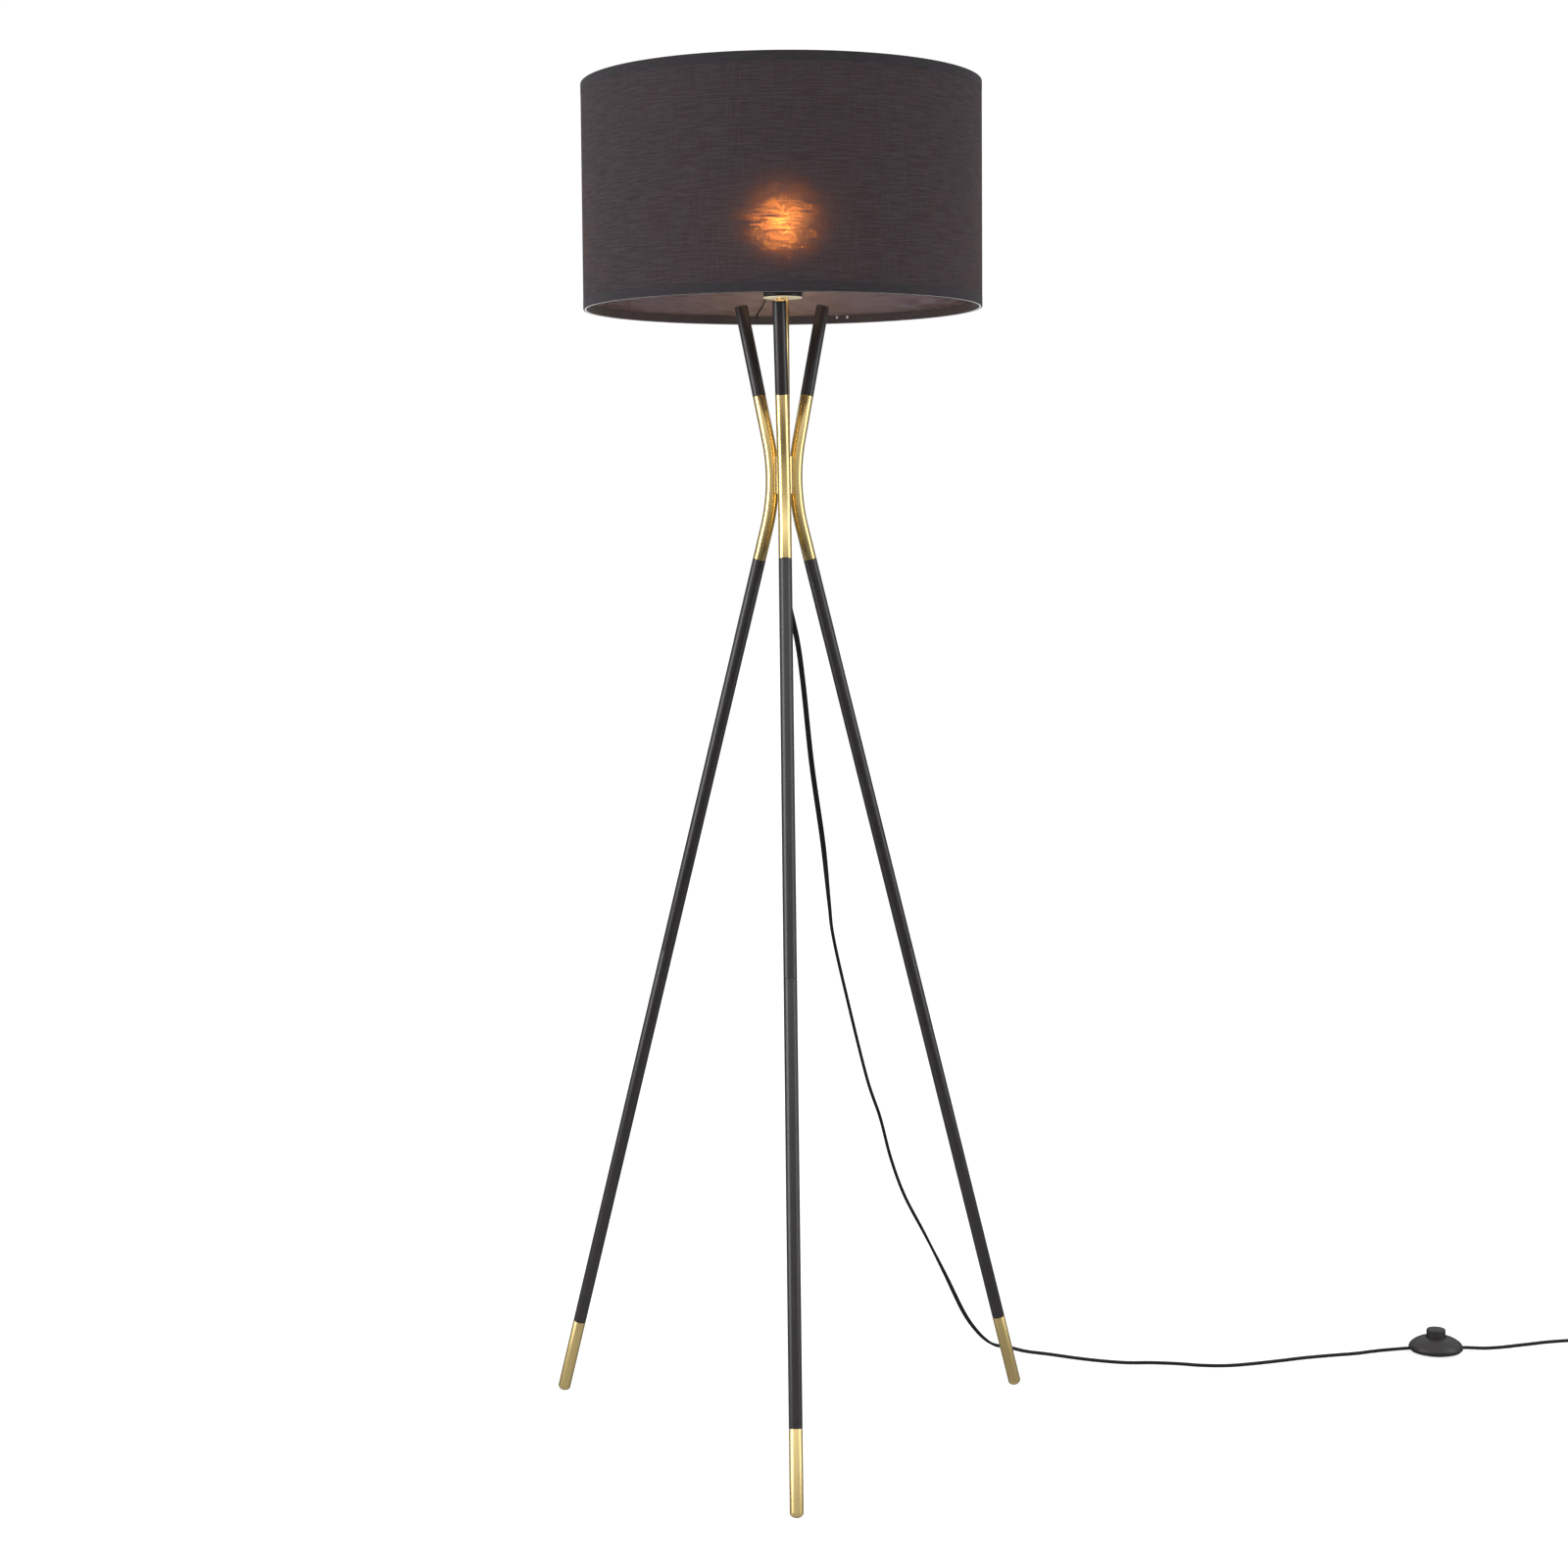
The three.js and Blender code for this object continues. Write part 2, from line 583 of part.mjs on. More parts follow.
function cordTube(name, route, steps) {
  const points = route.map((p) => new THREE.Vector3(...p));
  const line = new THREE.CatmullRomCurve3(points, false, "catmullrom", 0.5);
  piece(name, sweep(line, steps, CORD_R, 8), FLEX, cordSet);
}
cordTube("cord_hanging", HANGING_ROUTE, 62);
cordTube("cord_lead", LEAD_ROUTE, 11);
cordTube("cord_tail", TAIL_ROUTE, 3);

const coilInner = COIL.inner - 3.7;
const coilOuter = COIL.outer + 3.7;
const coilTop = COIL.lift + 4 * CORD_R + 0.3;
piece(
  "cord_coil",
  revolve([
    [coilInner, COIL.lift + 1], [coilInner + 1, COIL.lift], [coilOuter - 1, COIL.lift],
    [coilOuter, COIL.lift + 1], [coilOuter, COIL.lift + 3.8], [coilOuter - 3, coilTop],
    [coilInner + 3, coilTop], [coilInner, COIL.lift + 3.8],
  ], 32).translate(COIL.x, COIL.y, 0),
  FLEX,
  cordSet,
);

/** A flat strap round the coil's turns, on its far side. */
function coilTie() {
  const middle = (coilInner + coilOuter) / 2;
  const [wide, tall] = [coilOuter - coilInner + 4 * GAP, coilTop - COIL.lift + 2 * GAP];
  const thick = 0.6;
  const centre = COIL.lift - GAP + tall / 2;
  const box = (extra, long) =>
    new THREE.BoxGeometry(long, wide + 2 * extra, tall + 2 * extra).translate(0, middle, centre);
  return cut(box(thick, 8), box(0, 20)).translate(COIL.x, COIL.y, 0);
}
piece("coil_tie", coilTie(), PLASTIC, cordSet);

/** A flat two-pin plug that lies on its side face, its pins along +X. */
function plugBody() {
  const half = PLUG.width / 2;
  const plan = new THREE.Shape();
  plan.moveTo(0, -6.5);
  plan.lineTo(10, -8.5);
  plan.quadraticCurveTo(15, -half, 22, -half);
  plan.lineTo(PLUG.length, -half + 2);
  plan.lineTo(PLUG.length, half - 2);
  plan.lineTo(22, half);
  plan.quadraticCurveTo(15, half, 10, 8.5);
  plan.lineTo(0, 6.5);
  plan.closePath();
  const edge = 1.5;
  const body = new THREE.ExtrudeGeometry(plan, {
    depth: PLUG.height - 2 * edge,
    bevelSize: edge,
    bevelThickness: edge,
    bevelOffset: -edge,
    bevelSegments: 2,
    curveSegments: 5,
  }).translate(0, 0, edge);
  const boot = revolve([[0, -20], [2.6, -20], [5, -2], [5, 3], [0, 3]], 16)
    .rotateY(Math.PI / 2)
    .translate(0, 0, PLUG.height / 2);
  return join(body, boot).translate(PLUG.x, PLUG.y, 0);
}
piece("plug_body", plugBody(), PLASTIC, cordSet);
["left", "right"].forEach((side, i) => {
  const pin = revolve([[0, 0], [2, 0], [2, 17.4], [1.2, 19], [0, 19]], 12).rotateY(Math.PI / 2);
  pin.translate(PLUG.x + PLUG.length + GAP, PLUG.y + (0.5 - i) * PLUG.pinGap, PLUG.height / 2);
  piece(`plug_pin_${side}`, pin, STEEL, cordSet);
});

// ---- The whole, with its origin under the middle of the lamp without its cord ----
lamp.updateMatrixWorld(true);
const middle = new THREE.Box3().setFromObject(lamp).getCenter(new THREE.Vector3());
const floorLamp = new THREE.Group();
floorLamp.add(lamp, cordSet);
floorLamp.position.set(-middle.x, -middle.y, 0);

export default floorLamp;
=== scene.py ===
"""Tripod floor lamp: bent tube legs, a lit drum shade, and a flat cord with a foot switch.

Metres, +Z up, in the row frame. The front leg points along -Y. Lists of sizes in millimetres say so.
"""

import json
import math

import bmesh
import bpy
import numpy as np
from mathutils import Matrix, Vector


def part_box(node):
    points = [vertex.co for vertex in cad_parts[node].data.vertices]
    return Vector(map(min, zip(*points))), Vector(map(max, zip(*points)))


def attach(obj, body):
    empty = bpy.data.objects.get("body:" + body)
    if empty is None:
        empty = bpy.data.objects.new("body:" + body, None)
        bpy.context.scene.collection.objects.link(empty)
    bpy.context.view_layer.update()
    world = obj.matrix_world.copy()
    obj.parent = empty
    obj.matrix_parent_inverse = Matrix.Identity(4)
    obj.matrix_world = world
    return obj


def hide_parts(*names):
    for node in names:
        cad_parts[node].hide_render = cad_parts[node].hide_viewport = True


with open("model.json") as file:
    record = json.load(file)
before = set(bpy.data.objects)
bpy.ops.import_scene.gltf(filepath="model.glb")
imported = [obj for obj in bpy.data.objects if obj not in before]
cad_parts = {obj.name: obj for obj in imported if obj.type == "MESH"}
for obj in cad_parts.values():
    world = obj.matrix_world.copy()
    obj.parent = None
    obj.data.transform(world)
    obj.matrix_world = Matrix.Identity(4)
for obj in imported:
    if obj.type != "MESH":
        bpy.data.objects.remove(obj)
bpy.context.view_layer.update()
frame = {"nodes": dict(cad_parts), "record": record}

MM = 0.001
LEGS = ("front", "right", "left")
ROUND = 64  # sides of a turned piece
SHARP = 38  # degrees, the angle above which an edge is shaded sharp
GAP = 0.0003  # between touching pieces, as in the frame
UP = np.array((0.0, 0.0, 1.0))


def low(node):
    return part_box(node)[0]


def high(node):
    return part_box(node)[1]


def middle(node):
    return (low(node) + high(node)) / 2


def levels(node):
    return low(node).z, high(node).z


def in_mm(points, base=0.0):
    """An outline of (radius, height) points from millimetres to metres, with its heights from base up."""
    return [(radius * MM, base + height * MM) for radius, height in points]


AXIS = np.array((middle("stem_upper").x, middle("stem_upper").y, 0.0))  # the stem's axis on the floor

# ---- Camera ----

CAMERA_DISTANCE = 3.2686  # from the stem's axis
CAMERA_HEIGHT = 1.0174
CAMERA_AZIMUTH = 0.0140  # radians to the left of the front leg
CAMERA_PAN = -0.00093
CAMERA_PITCH = 0.0811  # down
CAMERA_ROLL = -0.00806
FOCAL_LENGTH = 65.73


def make_camera():
    heading = CAMERA_AZIMUTH + CAMERA_PAN
    across = Vector((math.cos(heading), -math.sin(heading), 0))
    ahead = Vector((math.sin(heading), math.cos(heading), 0)) * math.cos(CAMERA_PITCH)
    ahead.z = -math.sin(CAMERA_PITCH)
    upright = across.cross(ahead)
    right = math.cos(CAMERA_ROLL) * across + math.sin(CAMERA_ROLL) * upright
    top = math.cos(CAMERA_ROLL) * upright - math.sin(CAMERA_ROLL) * across
    place = Vector(AXIS) + Vector((0, 0, CAMERA_HEIGHT)) - CAMERA_DISTANCE * Vector(
        (math.sin(CAMERA_AZIMUTH), math.cos(CAMERA_AZIMUTH), 0)
    )
    data = bpy.data.cameras.new("camera")
    data.lens = FOCAL_LENGTH
    data.sensor_width = 36
    data.clip_end = 100
    camera = bpy.data.objects.new("camera", data)
    camera.matrix_world = Matrix.Translation(place) @ Matrix((right, top, -ahead)).transposed().to_4x4()
    bpy.context.scene.collection.objects.link(camera)
    bpy.context.scene.camera = camera


make_camera()

# ---- Finishes, one per material slot of the record, and a few finer ones ----


def add_node(tree, kind, inputs=None, **settings):
    """A node whose sockets get the values, or links from the sockets, in inputs."""
    made = tree.nodes.new(kind)
    for key, value in settings.items():
        setattr(made, key, value)
    for socket, value in (inputs or {}).items():
        if isinstance(value, bpy.types.NodeSocket):
            tree.links.new(value, made.inputs[socket])
        else:
            made.inputs[socket].default_value = value
    return made


class Finish:
    """A material whose Principled shader is fed by noise and bump nodes."""

    def __init__(self, name, **inputs):
        self.name = name
        self.material = bpy.data.materials.new(name)
        self.material.use_nodes = True
        self.tree = self.material.node_tree
        self.shader = self.tree.nodes["Principled BSDF"]
        self.height = None
        for socket, value in inputs.items():
            self.shader.inputs[socket.replace("_", " ")].default_value = value

    def node(self, kind, inputs=None, **settings):
        return add_node(self.tree, kind, inputs, **settings)

    def place(self, stretch=(1, 1, 1), source="Object"):
        coordinates = self.node("ShaderNodeTexCoord").outputs[source]
        return self.node("ShaderNodeMapping", {"Vector": coordinates, "Scale": stretch}).outputs[0]

    def noise(self, scale, detail=3, stretch=(1, 1, 1), source="Object", roughness=0.5):
        where = self.place(stretch, source)
        return self.node(
            "ShaderNodeTexNoise",
            {"Vector": where, "Scale": scale, "Detail": detail, "Roughness": roughness},
        ).outputs["Fac"]

    def spread(self, factor, start, end, from_low=0.3, from_high=0.7):
        """A number from start to end as factor goes from its low to its high."""
        return self.node(
            "ShaderNodeMapRange",
            {"Value": factor, "From Min": from_low, "From Max": from_high, "To Min": start, "To Max": end},
        ).outputs[0]

    def tint(self, factor, dark, light, socket="Base Color"):
        """Colours a socket between two colours."""
        ramp = self.node("ShaderNodeValToRGB", {"Fac": factor})
        ramp.color_ramp.elements[0].position = 0.3
        ramp.color_ramp.elements[1].position = 0.7
        ramp.color_ramp.elements[0].color = (*dark, 1)
        ramp.color_ramp.elements[1].color = (*light, 1)
        self.tree.links.new(ramp.outputs["Color"], self.shader.inputs[socket])
        return ramp.outputs["Color"]

    def feed(self, value, socket):
        self.tree.links.new(value, self.shader.inputs[socket])
        return self

    def bump(self, height, depth, strength=1.0):
        """Adds a relief of that depth in metres over the reliefs already there."""
        inputs = {"Height": height, "Distance": depth, "Strength": strength}
        if self.height:
            inputs["Normal"] = self.height
        self.height = self.node("ShaderNodeBump", inputs).outputs["Normal"]
        return self.feed(self.height, "Normal")


def powder_coat(name, dark, light):
    finish = Finish(name, Roughness=0.4, IOR=1.5, Coat_Weight=0.15, Coat_Roughness=0.25)
    finish.tint(finish.noise(40, 4), dark, light)
    finish.feed(finish.spread(finish.noise(300, 2), 0.3, 0.41), "Roughness")
    return finish.bump(finish.noise(1400, 2), 0.00004, 0.5).bump(finish.noise(180, 2), 0.00005, 0.3)


def brass(name, roughness, dark, light, brushed):
    finish = Finish(name, Metallic=1.0, Roughness=roughness, Coat_Weight=0.6, Coat_Roughness=0.2)
    finish.tint(finish.noise(25, 5, (1, 1, 0.3)), dark, light)
    fine = finish.noise(700, 3, brushed)
    finish.feed(finish.spread(fine, roughness - 0.03, roughness + 0.04), "Roughness")
    return finish.bump(fine, 0.00001, 0.04)


def plated(name, roughness, dark, light):
    finish = Finish(name, Metallic=1.0, Roughness=roughness)
    finish.tint(finish.noise(90, 4), dark, light)
    finish.feed(finish.spread(finish.noise(400, 3), roughness - 0.08, roughness + 0.1), "Roughness")
    return finish.bump(finish.noise(900, 2), 0.00002, 0.3)


def moulded(name, dark, light, roughness, grain=1800, depth=0.00004):
    finish = Finish(name, Roughness=roughness, IOR=1.48)
    finish.tint(finish.noise(60, 4), dark, light)
    finish.feed(finish.spread(finish.noise(220, 3), roughness - 0.06, roughness + 0.08), "Roughness")
    return finish.bump(finish.noise(grain, 2), depth, 0.5)


def mixed(finish, factor, first, second):
    """Mixes two shaders and makes the mix the surface."""
    mix = finish.node("ShaderNodeMixShader", {0: factor, 1: first, 2: second})
    output = finish.tree.nodes["Material Output"]
    finish.tree.links.new(mix.outputs[0], output.inputs["Surface"])
    return mix.outputs[0]


CLOTH_DARK = (0.021, 0.018, 0.0225)
CLOTH_LIGHT = (0.033, 0.029, 0.0345)
THREAD = 0.00055  # from one thread of the cloth to the next
CLOTH_GLOW = 0.03  # the share of light that the threads themselves let through
GAP_SHARE = 0.12  # the most of the cloth that is gap
LINER_CLEAR = 0.3  # the share of light that goes on through the lining
LINER_HAZE = 0.22  # the share of the more strongly bent of its two blurs


def threads(finish, size):
    """A plain weave's relief, from the piece's UV map, which is in metres."""
    where = finish.place((2 * math.pi / size, 2 * math.pi / size, 1), "UV")
    axes = finish.node("ShaderNodeSeparateXYZ", {"Vector": where})
    waves = [
        finish.node("ShaderNodeMath", {0: axes.outputs[i]}, operation="SINE").outputs[0] for i in (0, 1)
    ]
    return finish.node("ShaderNodeMath", {0: waves[0], 1: waves[1]}, operation="MULTIPLY").outputs[0]


def slubs(finish):
    """Uneven weft threads that run round the shade."""
    return finish.noise(1, 2, (30, 640, 1), "UV", 0.6)


def uneven_weave(finish, weft):
    """The slubs with finer uneven threads along and across them."""
    fine = finish.noise(1, 2, (70, 1700, 1), "UV", 0.6)
    warp = finish.noise(1, 2, (1100, 30, 1), "UV", 0.6)
    crossed = finish.node("ShaderNodeMath", {0: fine, 1: warp}, operation="ADD").outputs[0]
    return finish.node("ShaderNodeMath", {0: crossed, 1: weft}, operation="ADD").outputs[0]


def shade_cloth():
    """Dark threads, with gaps between the uneven ones that let the lining's light through."""
    finish = Finish("shade_cloth", Roughness=0.9, IOR=1.3, Sheen_Weight=0.03, Sheen_Roughness=0.4)
    weft = slubs(finish)
    weave = uneven_weave(finish, weft)
    finish.tint(finish.spread(weave, 0, 1, 1.15, 1.85), CLOTH_DARK, CLOTH_LIGHT)
    finish.bump(threads(finish, THREAD), 0.00008, 0.5).bump(weave, 0.0001, 0.5)
    glow = finish.node("ShaderNodeBsdfTranslucent", {"Color": (0.9, 0.42, 0.25, 1)}).outputs[0]
    gaps = finish.node("ShaderNodeBsdfTransparent", {"Color": (1.0, 0.46, 0.14, 1)}).outputs[0]
    cloth = mixed(finish, CLOTH_GLOW, finish.shader.outputs[0], glow)
    mixed(finish, finish.spread(weft, GAP_SHARE, 0.0, 0.4, 0.6), cloth, gaps)
    return finish


def shade_lining():
    """A milky plastic sheet: what shines through it is blurred."""
    finish = Finish("shade_lining", Roughness=0.4, IOR=1.45)
    weft = slubs(finish)
    finish.tint(finish.spread(weft, 0, 1, 0.3, 0.7), (0.034, 0.030, 0.042), (0.120, 0.108, 0.150))
    finish.bump(weft, 0.00006, 0.4)
    blurred = [
        finish.node("ShaderNodeBsdfRefraction", {"Color": (1, 0.88, 0.76, 1), "Roughness": r, "IOR": n})
        for r, n in ((0.75, 1.14), (0.7, 1.3))
    ]
    clear = mixed(finish, LINER_HAZE, blurred[0].outputs[0], blurred[1].outputs[0])
    mixed(finish, LINER_CLEAR, finish.shader.outputs[0], clear)
    return finish


# The hem is the drum's own cloth coloured darker than the drum: painted shade along the rolled, doubled
# edges.
HEM_SHADED_DARK = (0.017, 0.0145, 0.0170)
HEM_SHADED_LIGHT = (0.027, 0.0235, 0.0275)


def hem_cloth_shaded():
    finish = Finish("hem_cloth_shaded", Roughness=0.92, IOR=1.3, Sheen_Weight=0.04, Sheen_Roughness=0.5)
    finish.tint(finish.noise(1, 3, (90, 90, 900)), HEM_SHADED_DARK, HEM_SHADED_LIGHT)
    return finish.bump(finish.noise(1600, 2), 0.00008, 0.5)


GLASS_GLOW = 0.3
CORE_GLOW = 290.0


def lit_glass():
    """Frosted glass that glows, and shows the brighter core inside it."""
    finish = Finish("bulb_glass", Roughness=0.25, IOR=1.45)
    finish.tint(finish.noise(60, 3), (1.0, 0.60, 0.30), (1.0, 0.66, 0.36), "Emission Color")
    finish.tint(finish.noise(30, 2), (0.86, 0.84, 0.8), (0.92, 0.9, 0.87))
    finish.shader.inputs["Emission Strength"].default_value = GLASS_GLOW
    clear = finish.node("ShaderNodeBsdfTransparent", {"Color": (1, 0.95, 0.88, 1)}).outputs[0]
    mixed(finish, 0.75, finish.shader.outputs[0], clear)
    return finish


def lit_core():
    finish = Finish("bulb_core", Roughness=0.5)
    finish.tint(finish.noise(200, 3), (1.0, 0.66, 0.36), (1.0, 0.72, 0.42), "Emission Color")
    finish.tint(finish.noise(90, 2), (0.8, 0.7, 0.5), (0.9, 0.8, 0.6))
    finish.shader.inputs["Emission Strength"].default_value = CORE_GLOW
    return finish


def flex_sheath():
    finish = Finish("cord_sheath", Roughness=0.6, IOR=1.22)
    finish.tint(finish.noise(120, 4), (0.004, 0.004, 0.005), (0.008, 0.008, 0.009))
    finish.feed(finish.spread(finish.noise(500, 2), 0.42, 0.6), "Roughness")
    return finish.bump(finish.noise(900, 3), 0.00005, 0.5)


def glazed():
    finish = Finish("porcelain", Roughness=0.2, IOR=1.5, Coat_Weight=0.5, Coat_Roughness=0.1)
    finish.tint(finish.noise(50, 4), (0.78, 0.75, 0.70), (0.85, 0.83, 0.79))
    return finish.bump(finish.noise(300, 2), 0.00003, 0.3)


ALL_FINISHES = [
    brass("polished_brass", 0.25, (0.80, 0.58, 0.22), (0.86, 0.65, 0.28), (1, 1, 0.05)),
    brass("satin_brass", 0.33, (0.68, 0.51, 0.21), (0.74, 0.57, 0.245), (1, 1, 0.05)),
    powder_coat("black_paint", (0.009, 0.0068, 0.0078), (0.014, 0.0108, 0.0118)),
    plated("zinc_steel", 0.3, (0.55, 0.55, 0.53), (0.68, 0.68, 0.66)),
    plated("shade_wire", 0.36, (0.10, 0.08, 0.07), (0.16, 0.13, 0.11)),
    moulded("black_plastic", (0.011, 0.010, 0.011), (0.018, 0.016, 0.018), 0.38),
    brass("socket_brass", 0.28, (0.72, 0.50, 0.22), (0.80, 0.58, 0.28), (1, 1, 1)),
    glazed(),
    lit_glass(),
    moulded("warm_light", (0.7, 0.66, 0.6), (0.8, 0.76, 0.7), 0.5),
    shade_cloth(),
    shade_lining(),
    flex_sheath(),
    moulded("cord_plastic", (0.009, 0.007, 0.007), (0.014, 0.011, 0.011), 0.46, 1500, 0.00006),
    plated("plug_metal", 0.25, (0.66, 0.65, 0.62), (0.78, 0.77, 0.74)),
]
FINISHES = {finish.name: finish for finish in ALL_FINISHES}
HEM_CLOTH_SHADED = hem_cloth_shaded()
BULB_CORE = lit_core()
# The disc's pale cream colour and low metal share are a painted reflection of the white floor under it,
# which reflections don't see.
DISC_PAINTED_REFLECTION = brass("disc_painted_floor_reflection", 0.42, (0.93, 0.80, 0.52), (0.96, 0.84, 0.57), (1, 1, 1))
DISC_PAINTED_REFLECTION.shader.inputs["Metallic"].default_value = 0.25
# The pale rim is partly the lining's own edge and partly a painted highlight of the light from below on the
# shade's edge.
RIM_EDGE_AND_HIGHLIGHT = moulded("rim_plastic_and_highlight", (0.72, 0.71, 0.69), (0.82, 0.81, 0.80), 0.35)
TIE_WIRE = moulded("tie_wire", (0.30, 0.30, 0.31), (0.40, 0.40, 0.41), 0.45)

for part in frame["record"]["subparts"]:
    node = frame["nodes"][part["node"]]
    node.data.materials.clear()
    node.data.materials.append(FINISHES[part["material_slot"]].material)

# ---- Mesh tools ----


def body_of(node):
    bodies = frame["record"]["behaviour"]["bodies"]
    return next(body for body, members in bodies.items() if node in members)


def slot_of(node):
    return next(p["material_slot"] for p in frame["record"]["subparts"] if p["node"] == node)


def mesh_object(name, shape):
    """An object from (vertices, faces), with its faces turned outwards."""
    mesh = bpy.data.meshes.new(name)
    mesh.from_pydata([tuple(v) for v in shape[0]], [], [tuple(f) for f in shape[1]])
    work = bmesh.new()
    work.from_mesh(mesh)
    bmesh.ops.recalc_face_normals(work, faces=work.faces)
    work.to_mesh(mesh)
    work.free()
    made = bpy.data.objects.new(name, mesh)
    bpy.context.scene.collection.objects.link(made)
    return made


def shade(mesh, sharp=SHARP):
    mesh.shade_smooth()
    mesh.set_sharp_from_angle(angle=math.radians(sharp))


def piece(name, shape, node, finish=None, stands_for=None, sharp=SHARP):
    """An object that rides with a CAD node's body and, unless told otherwise, replaces that node."""
    made = mesh_object(name, shape)
    shade(made.data, sharp)
    made.data.materials.append((finish or FINISHES[slot_of(node)]).material)
    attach(made, body_of(node))
    if stands_for is None:
        stands_for = [node]
    if stands_for:
        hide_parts(*stands_for)
    return made


def eased(outline, radius, closed=None):
    """Rounds the corners of an outline of (radius, height) points that aren't on the axis."""
    points = [np.array(p, float) for p in outline]
    loop = outline[0][0] > 1e-7 if closed is None else closed
    rounded = []
    for i, here in enumerate(points):
        if here[0] < 1e-7 or (not loop and i in (0, len(points) - 1)):
            rounded.append(here)
            continue
        before, after = points[i - 1], points[(i + 1) % len(points)]
        reach = min(radius, np.linalg.norm(before - here) * 0.45, np.linalg.norm(after - here) * 0.45)
        start = here + (before - here) / np.linalg.norm(before - here) * reach
        end = here + (after - here) / np.linalg.norm(after - here) * reach
        for t in (0, 0.25, 0.5, 0.75, 1):
            rounded.append((1 - t) ** 2 * start + 2 * t * (1 - t) * here + t**2 * end)
    return rounded


def turned(outline, sides=ROUND, ripple=None):
    """Turns an outline of (radius, height) points round the Z axis.

    ripple(angle, radius, height) changes a radius.
    """
    vertices, rings = [], []
    for radius, height in outline:
        if radius < 1e-7:
            rings.append([len(vertices)])
            vertices.append((0, 0, height))
            continue
        rings.append(list(range(len(vertices), len(vertices) + sides)))
        for j in range(sides):
            a = 2 * math.pi * j / sides
            r = ripple(a, radius, height) if ripple else radius
            vertices.append((r * math.cos(a), r * math.sin(a), height))
    faces = []
    pairs = list(zip(rings, rings[1:]))
    if len(rings[0]) > 1 and len(rings[-1]) > 1:
        pairs.append((rings[-1], rings[0]))
    for first, second in pairs:
        for j in range(sides):
            k = (j + 1) % sides
            corners = [first[j % len(first)], first[k % len(first)]]
            corners += [second[k % len(second)], second[j % len(second)]]
            face = list(dict.fromkeys(corners))
            if len(face) > 2:
                faces.append(face)
    return np.array(vertices), faces


def moved(shape, base, along=UP):
    """A shape made about the Z axis, with its origin at base and its Z axis along a direction."""
    turn = np.array(Vector((0, 0, 1)).rotation_difference(Vector(along)).to_matrix())
    return shape[0] @ turn.T + np.array(base), shape[1]


def joined(*shapes):
    vertices, faces, count = [], [], 0
    for points, polygons in shapes:
        vertices.append(np.array(points))
        faces += [[count + i for i in face] for face in polygons]
        count += len(points)
    return np.concatenate(vertices), faces


def sleeve(rings, count):
    """The faces that join rings of count points each, with a face over each end."""
    faces = [
        [i * count + j, i * count + (j + 1) % count, (i + 1) * count + (j + 1) % count, (i + 1) * count + j]
        for i in range(rings - 1)
        for j in range(count)
    ]
    return [*faces, list(range(count)), [(rings - 1) * count + j for j in range(count)]]


def swept(line, sections, wide):
    """Sweeps a section, or one section per point, along a line.

    wide is the direction of a section's first axis.
    """
    line = np.array(line, float)
    wide = np.broadcast_to(np.array(wide, float), line.shape)
    tangent = np.gradient(line, axis=0)
    tangent /= np.linalg.norm(tangent, axis=1)[:, None]
    first = wide - (wide * tangent).sum(1)[:, None] * tangent
    first /= np.linalg.norm(first, axis=1)[:, None]
    second = np.cross(tangent, first)
    sections = np.array(sections, float)
    if sections.ndim == 2:
        sections = np.broadcast_to(sections, (len(line), *sections.shape))
    rings = line[:, None] + sections[..., :1] * first[:, None] + sections[..., 1:] * second[:, None]
    return rings.reshape(-1, 3), sleeve(len(line), sections.shape[1])


def ring(inner, outer, bottom, top):
    """A plain ring's outline, from its radii in millimetres and its heights in metres."""
    return [(inner * MM, bottom), (outer * MM, bottom), (outer * MM, top), (inner * MM, top)]


def circle(radius, count=32):
    a = np.arange(count) * 2 * math.pi / count
    return np.stack([radius * np.cos(a), radius * np.sin(a)], axis=1)


def smooth_line(points, step):
    """A Catmull-Rom curve through points, with about step between the points returned."""
    points = [np.array(p, float) for p in points]
    whole = [2 * points[0] - points[1], *points, 2 * points[-1] - points[-2]]
    line = []
    for a, b, c, d in zip(whole, whole[1:], whole[2:], whole[3:]):
        count = max(1, round(np.linalg.norm(c - b) / step))
        for t in np.arange(count) / count:
            line.append(
                b + 0.5 * t * (c - a) + t**2 * (a - 2.5 * b + 2 * c - 0.5 * d)
                + 0.5 * t**3 * (3 * b - 3 * c + d - a)
            )
    line.append(points[-1])
    return np.array(line)


def ease_between(value, start, end):
    t = np.clip((np.array(value, float) - start) / (end - start), 0, 1)
    return t * t * (3 - 2 * t)


# ---- The cord ----

FLEX_WIDTH = 6.3 * MM
FLEX_THICK = 3.5 * MM
FLOOR = 1.85  # mm, height of the cord's centre where it lies on the floor
CORD_START = high("cord_hanging").z / MM
SWITCH = (np.array((middle("switch_base").x, middle("switch_base").y, 0.0)) - AXIS) / MM
SWITCH_RADIUS = (high("switch_base").x - low("switch_base").x) / 2 / MM
ENTRY = 5.15  # mm, height of the cord at the switch
COIL = (np.array(middle("cord_coil")) - AXIS) / MM
COIL_OUTER, COIL_INNER = 40.5, 33.5  # mm, radii of the turns
PLUG_X = (low("plug_body").x - AXIS[0]) / MM
PLUG_Z = middle("plug_body").z / MM

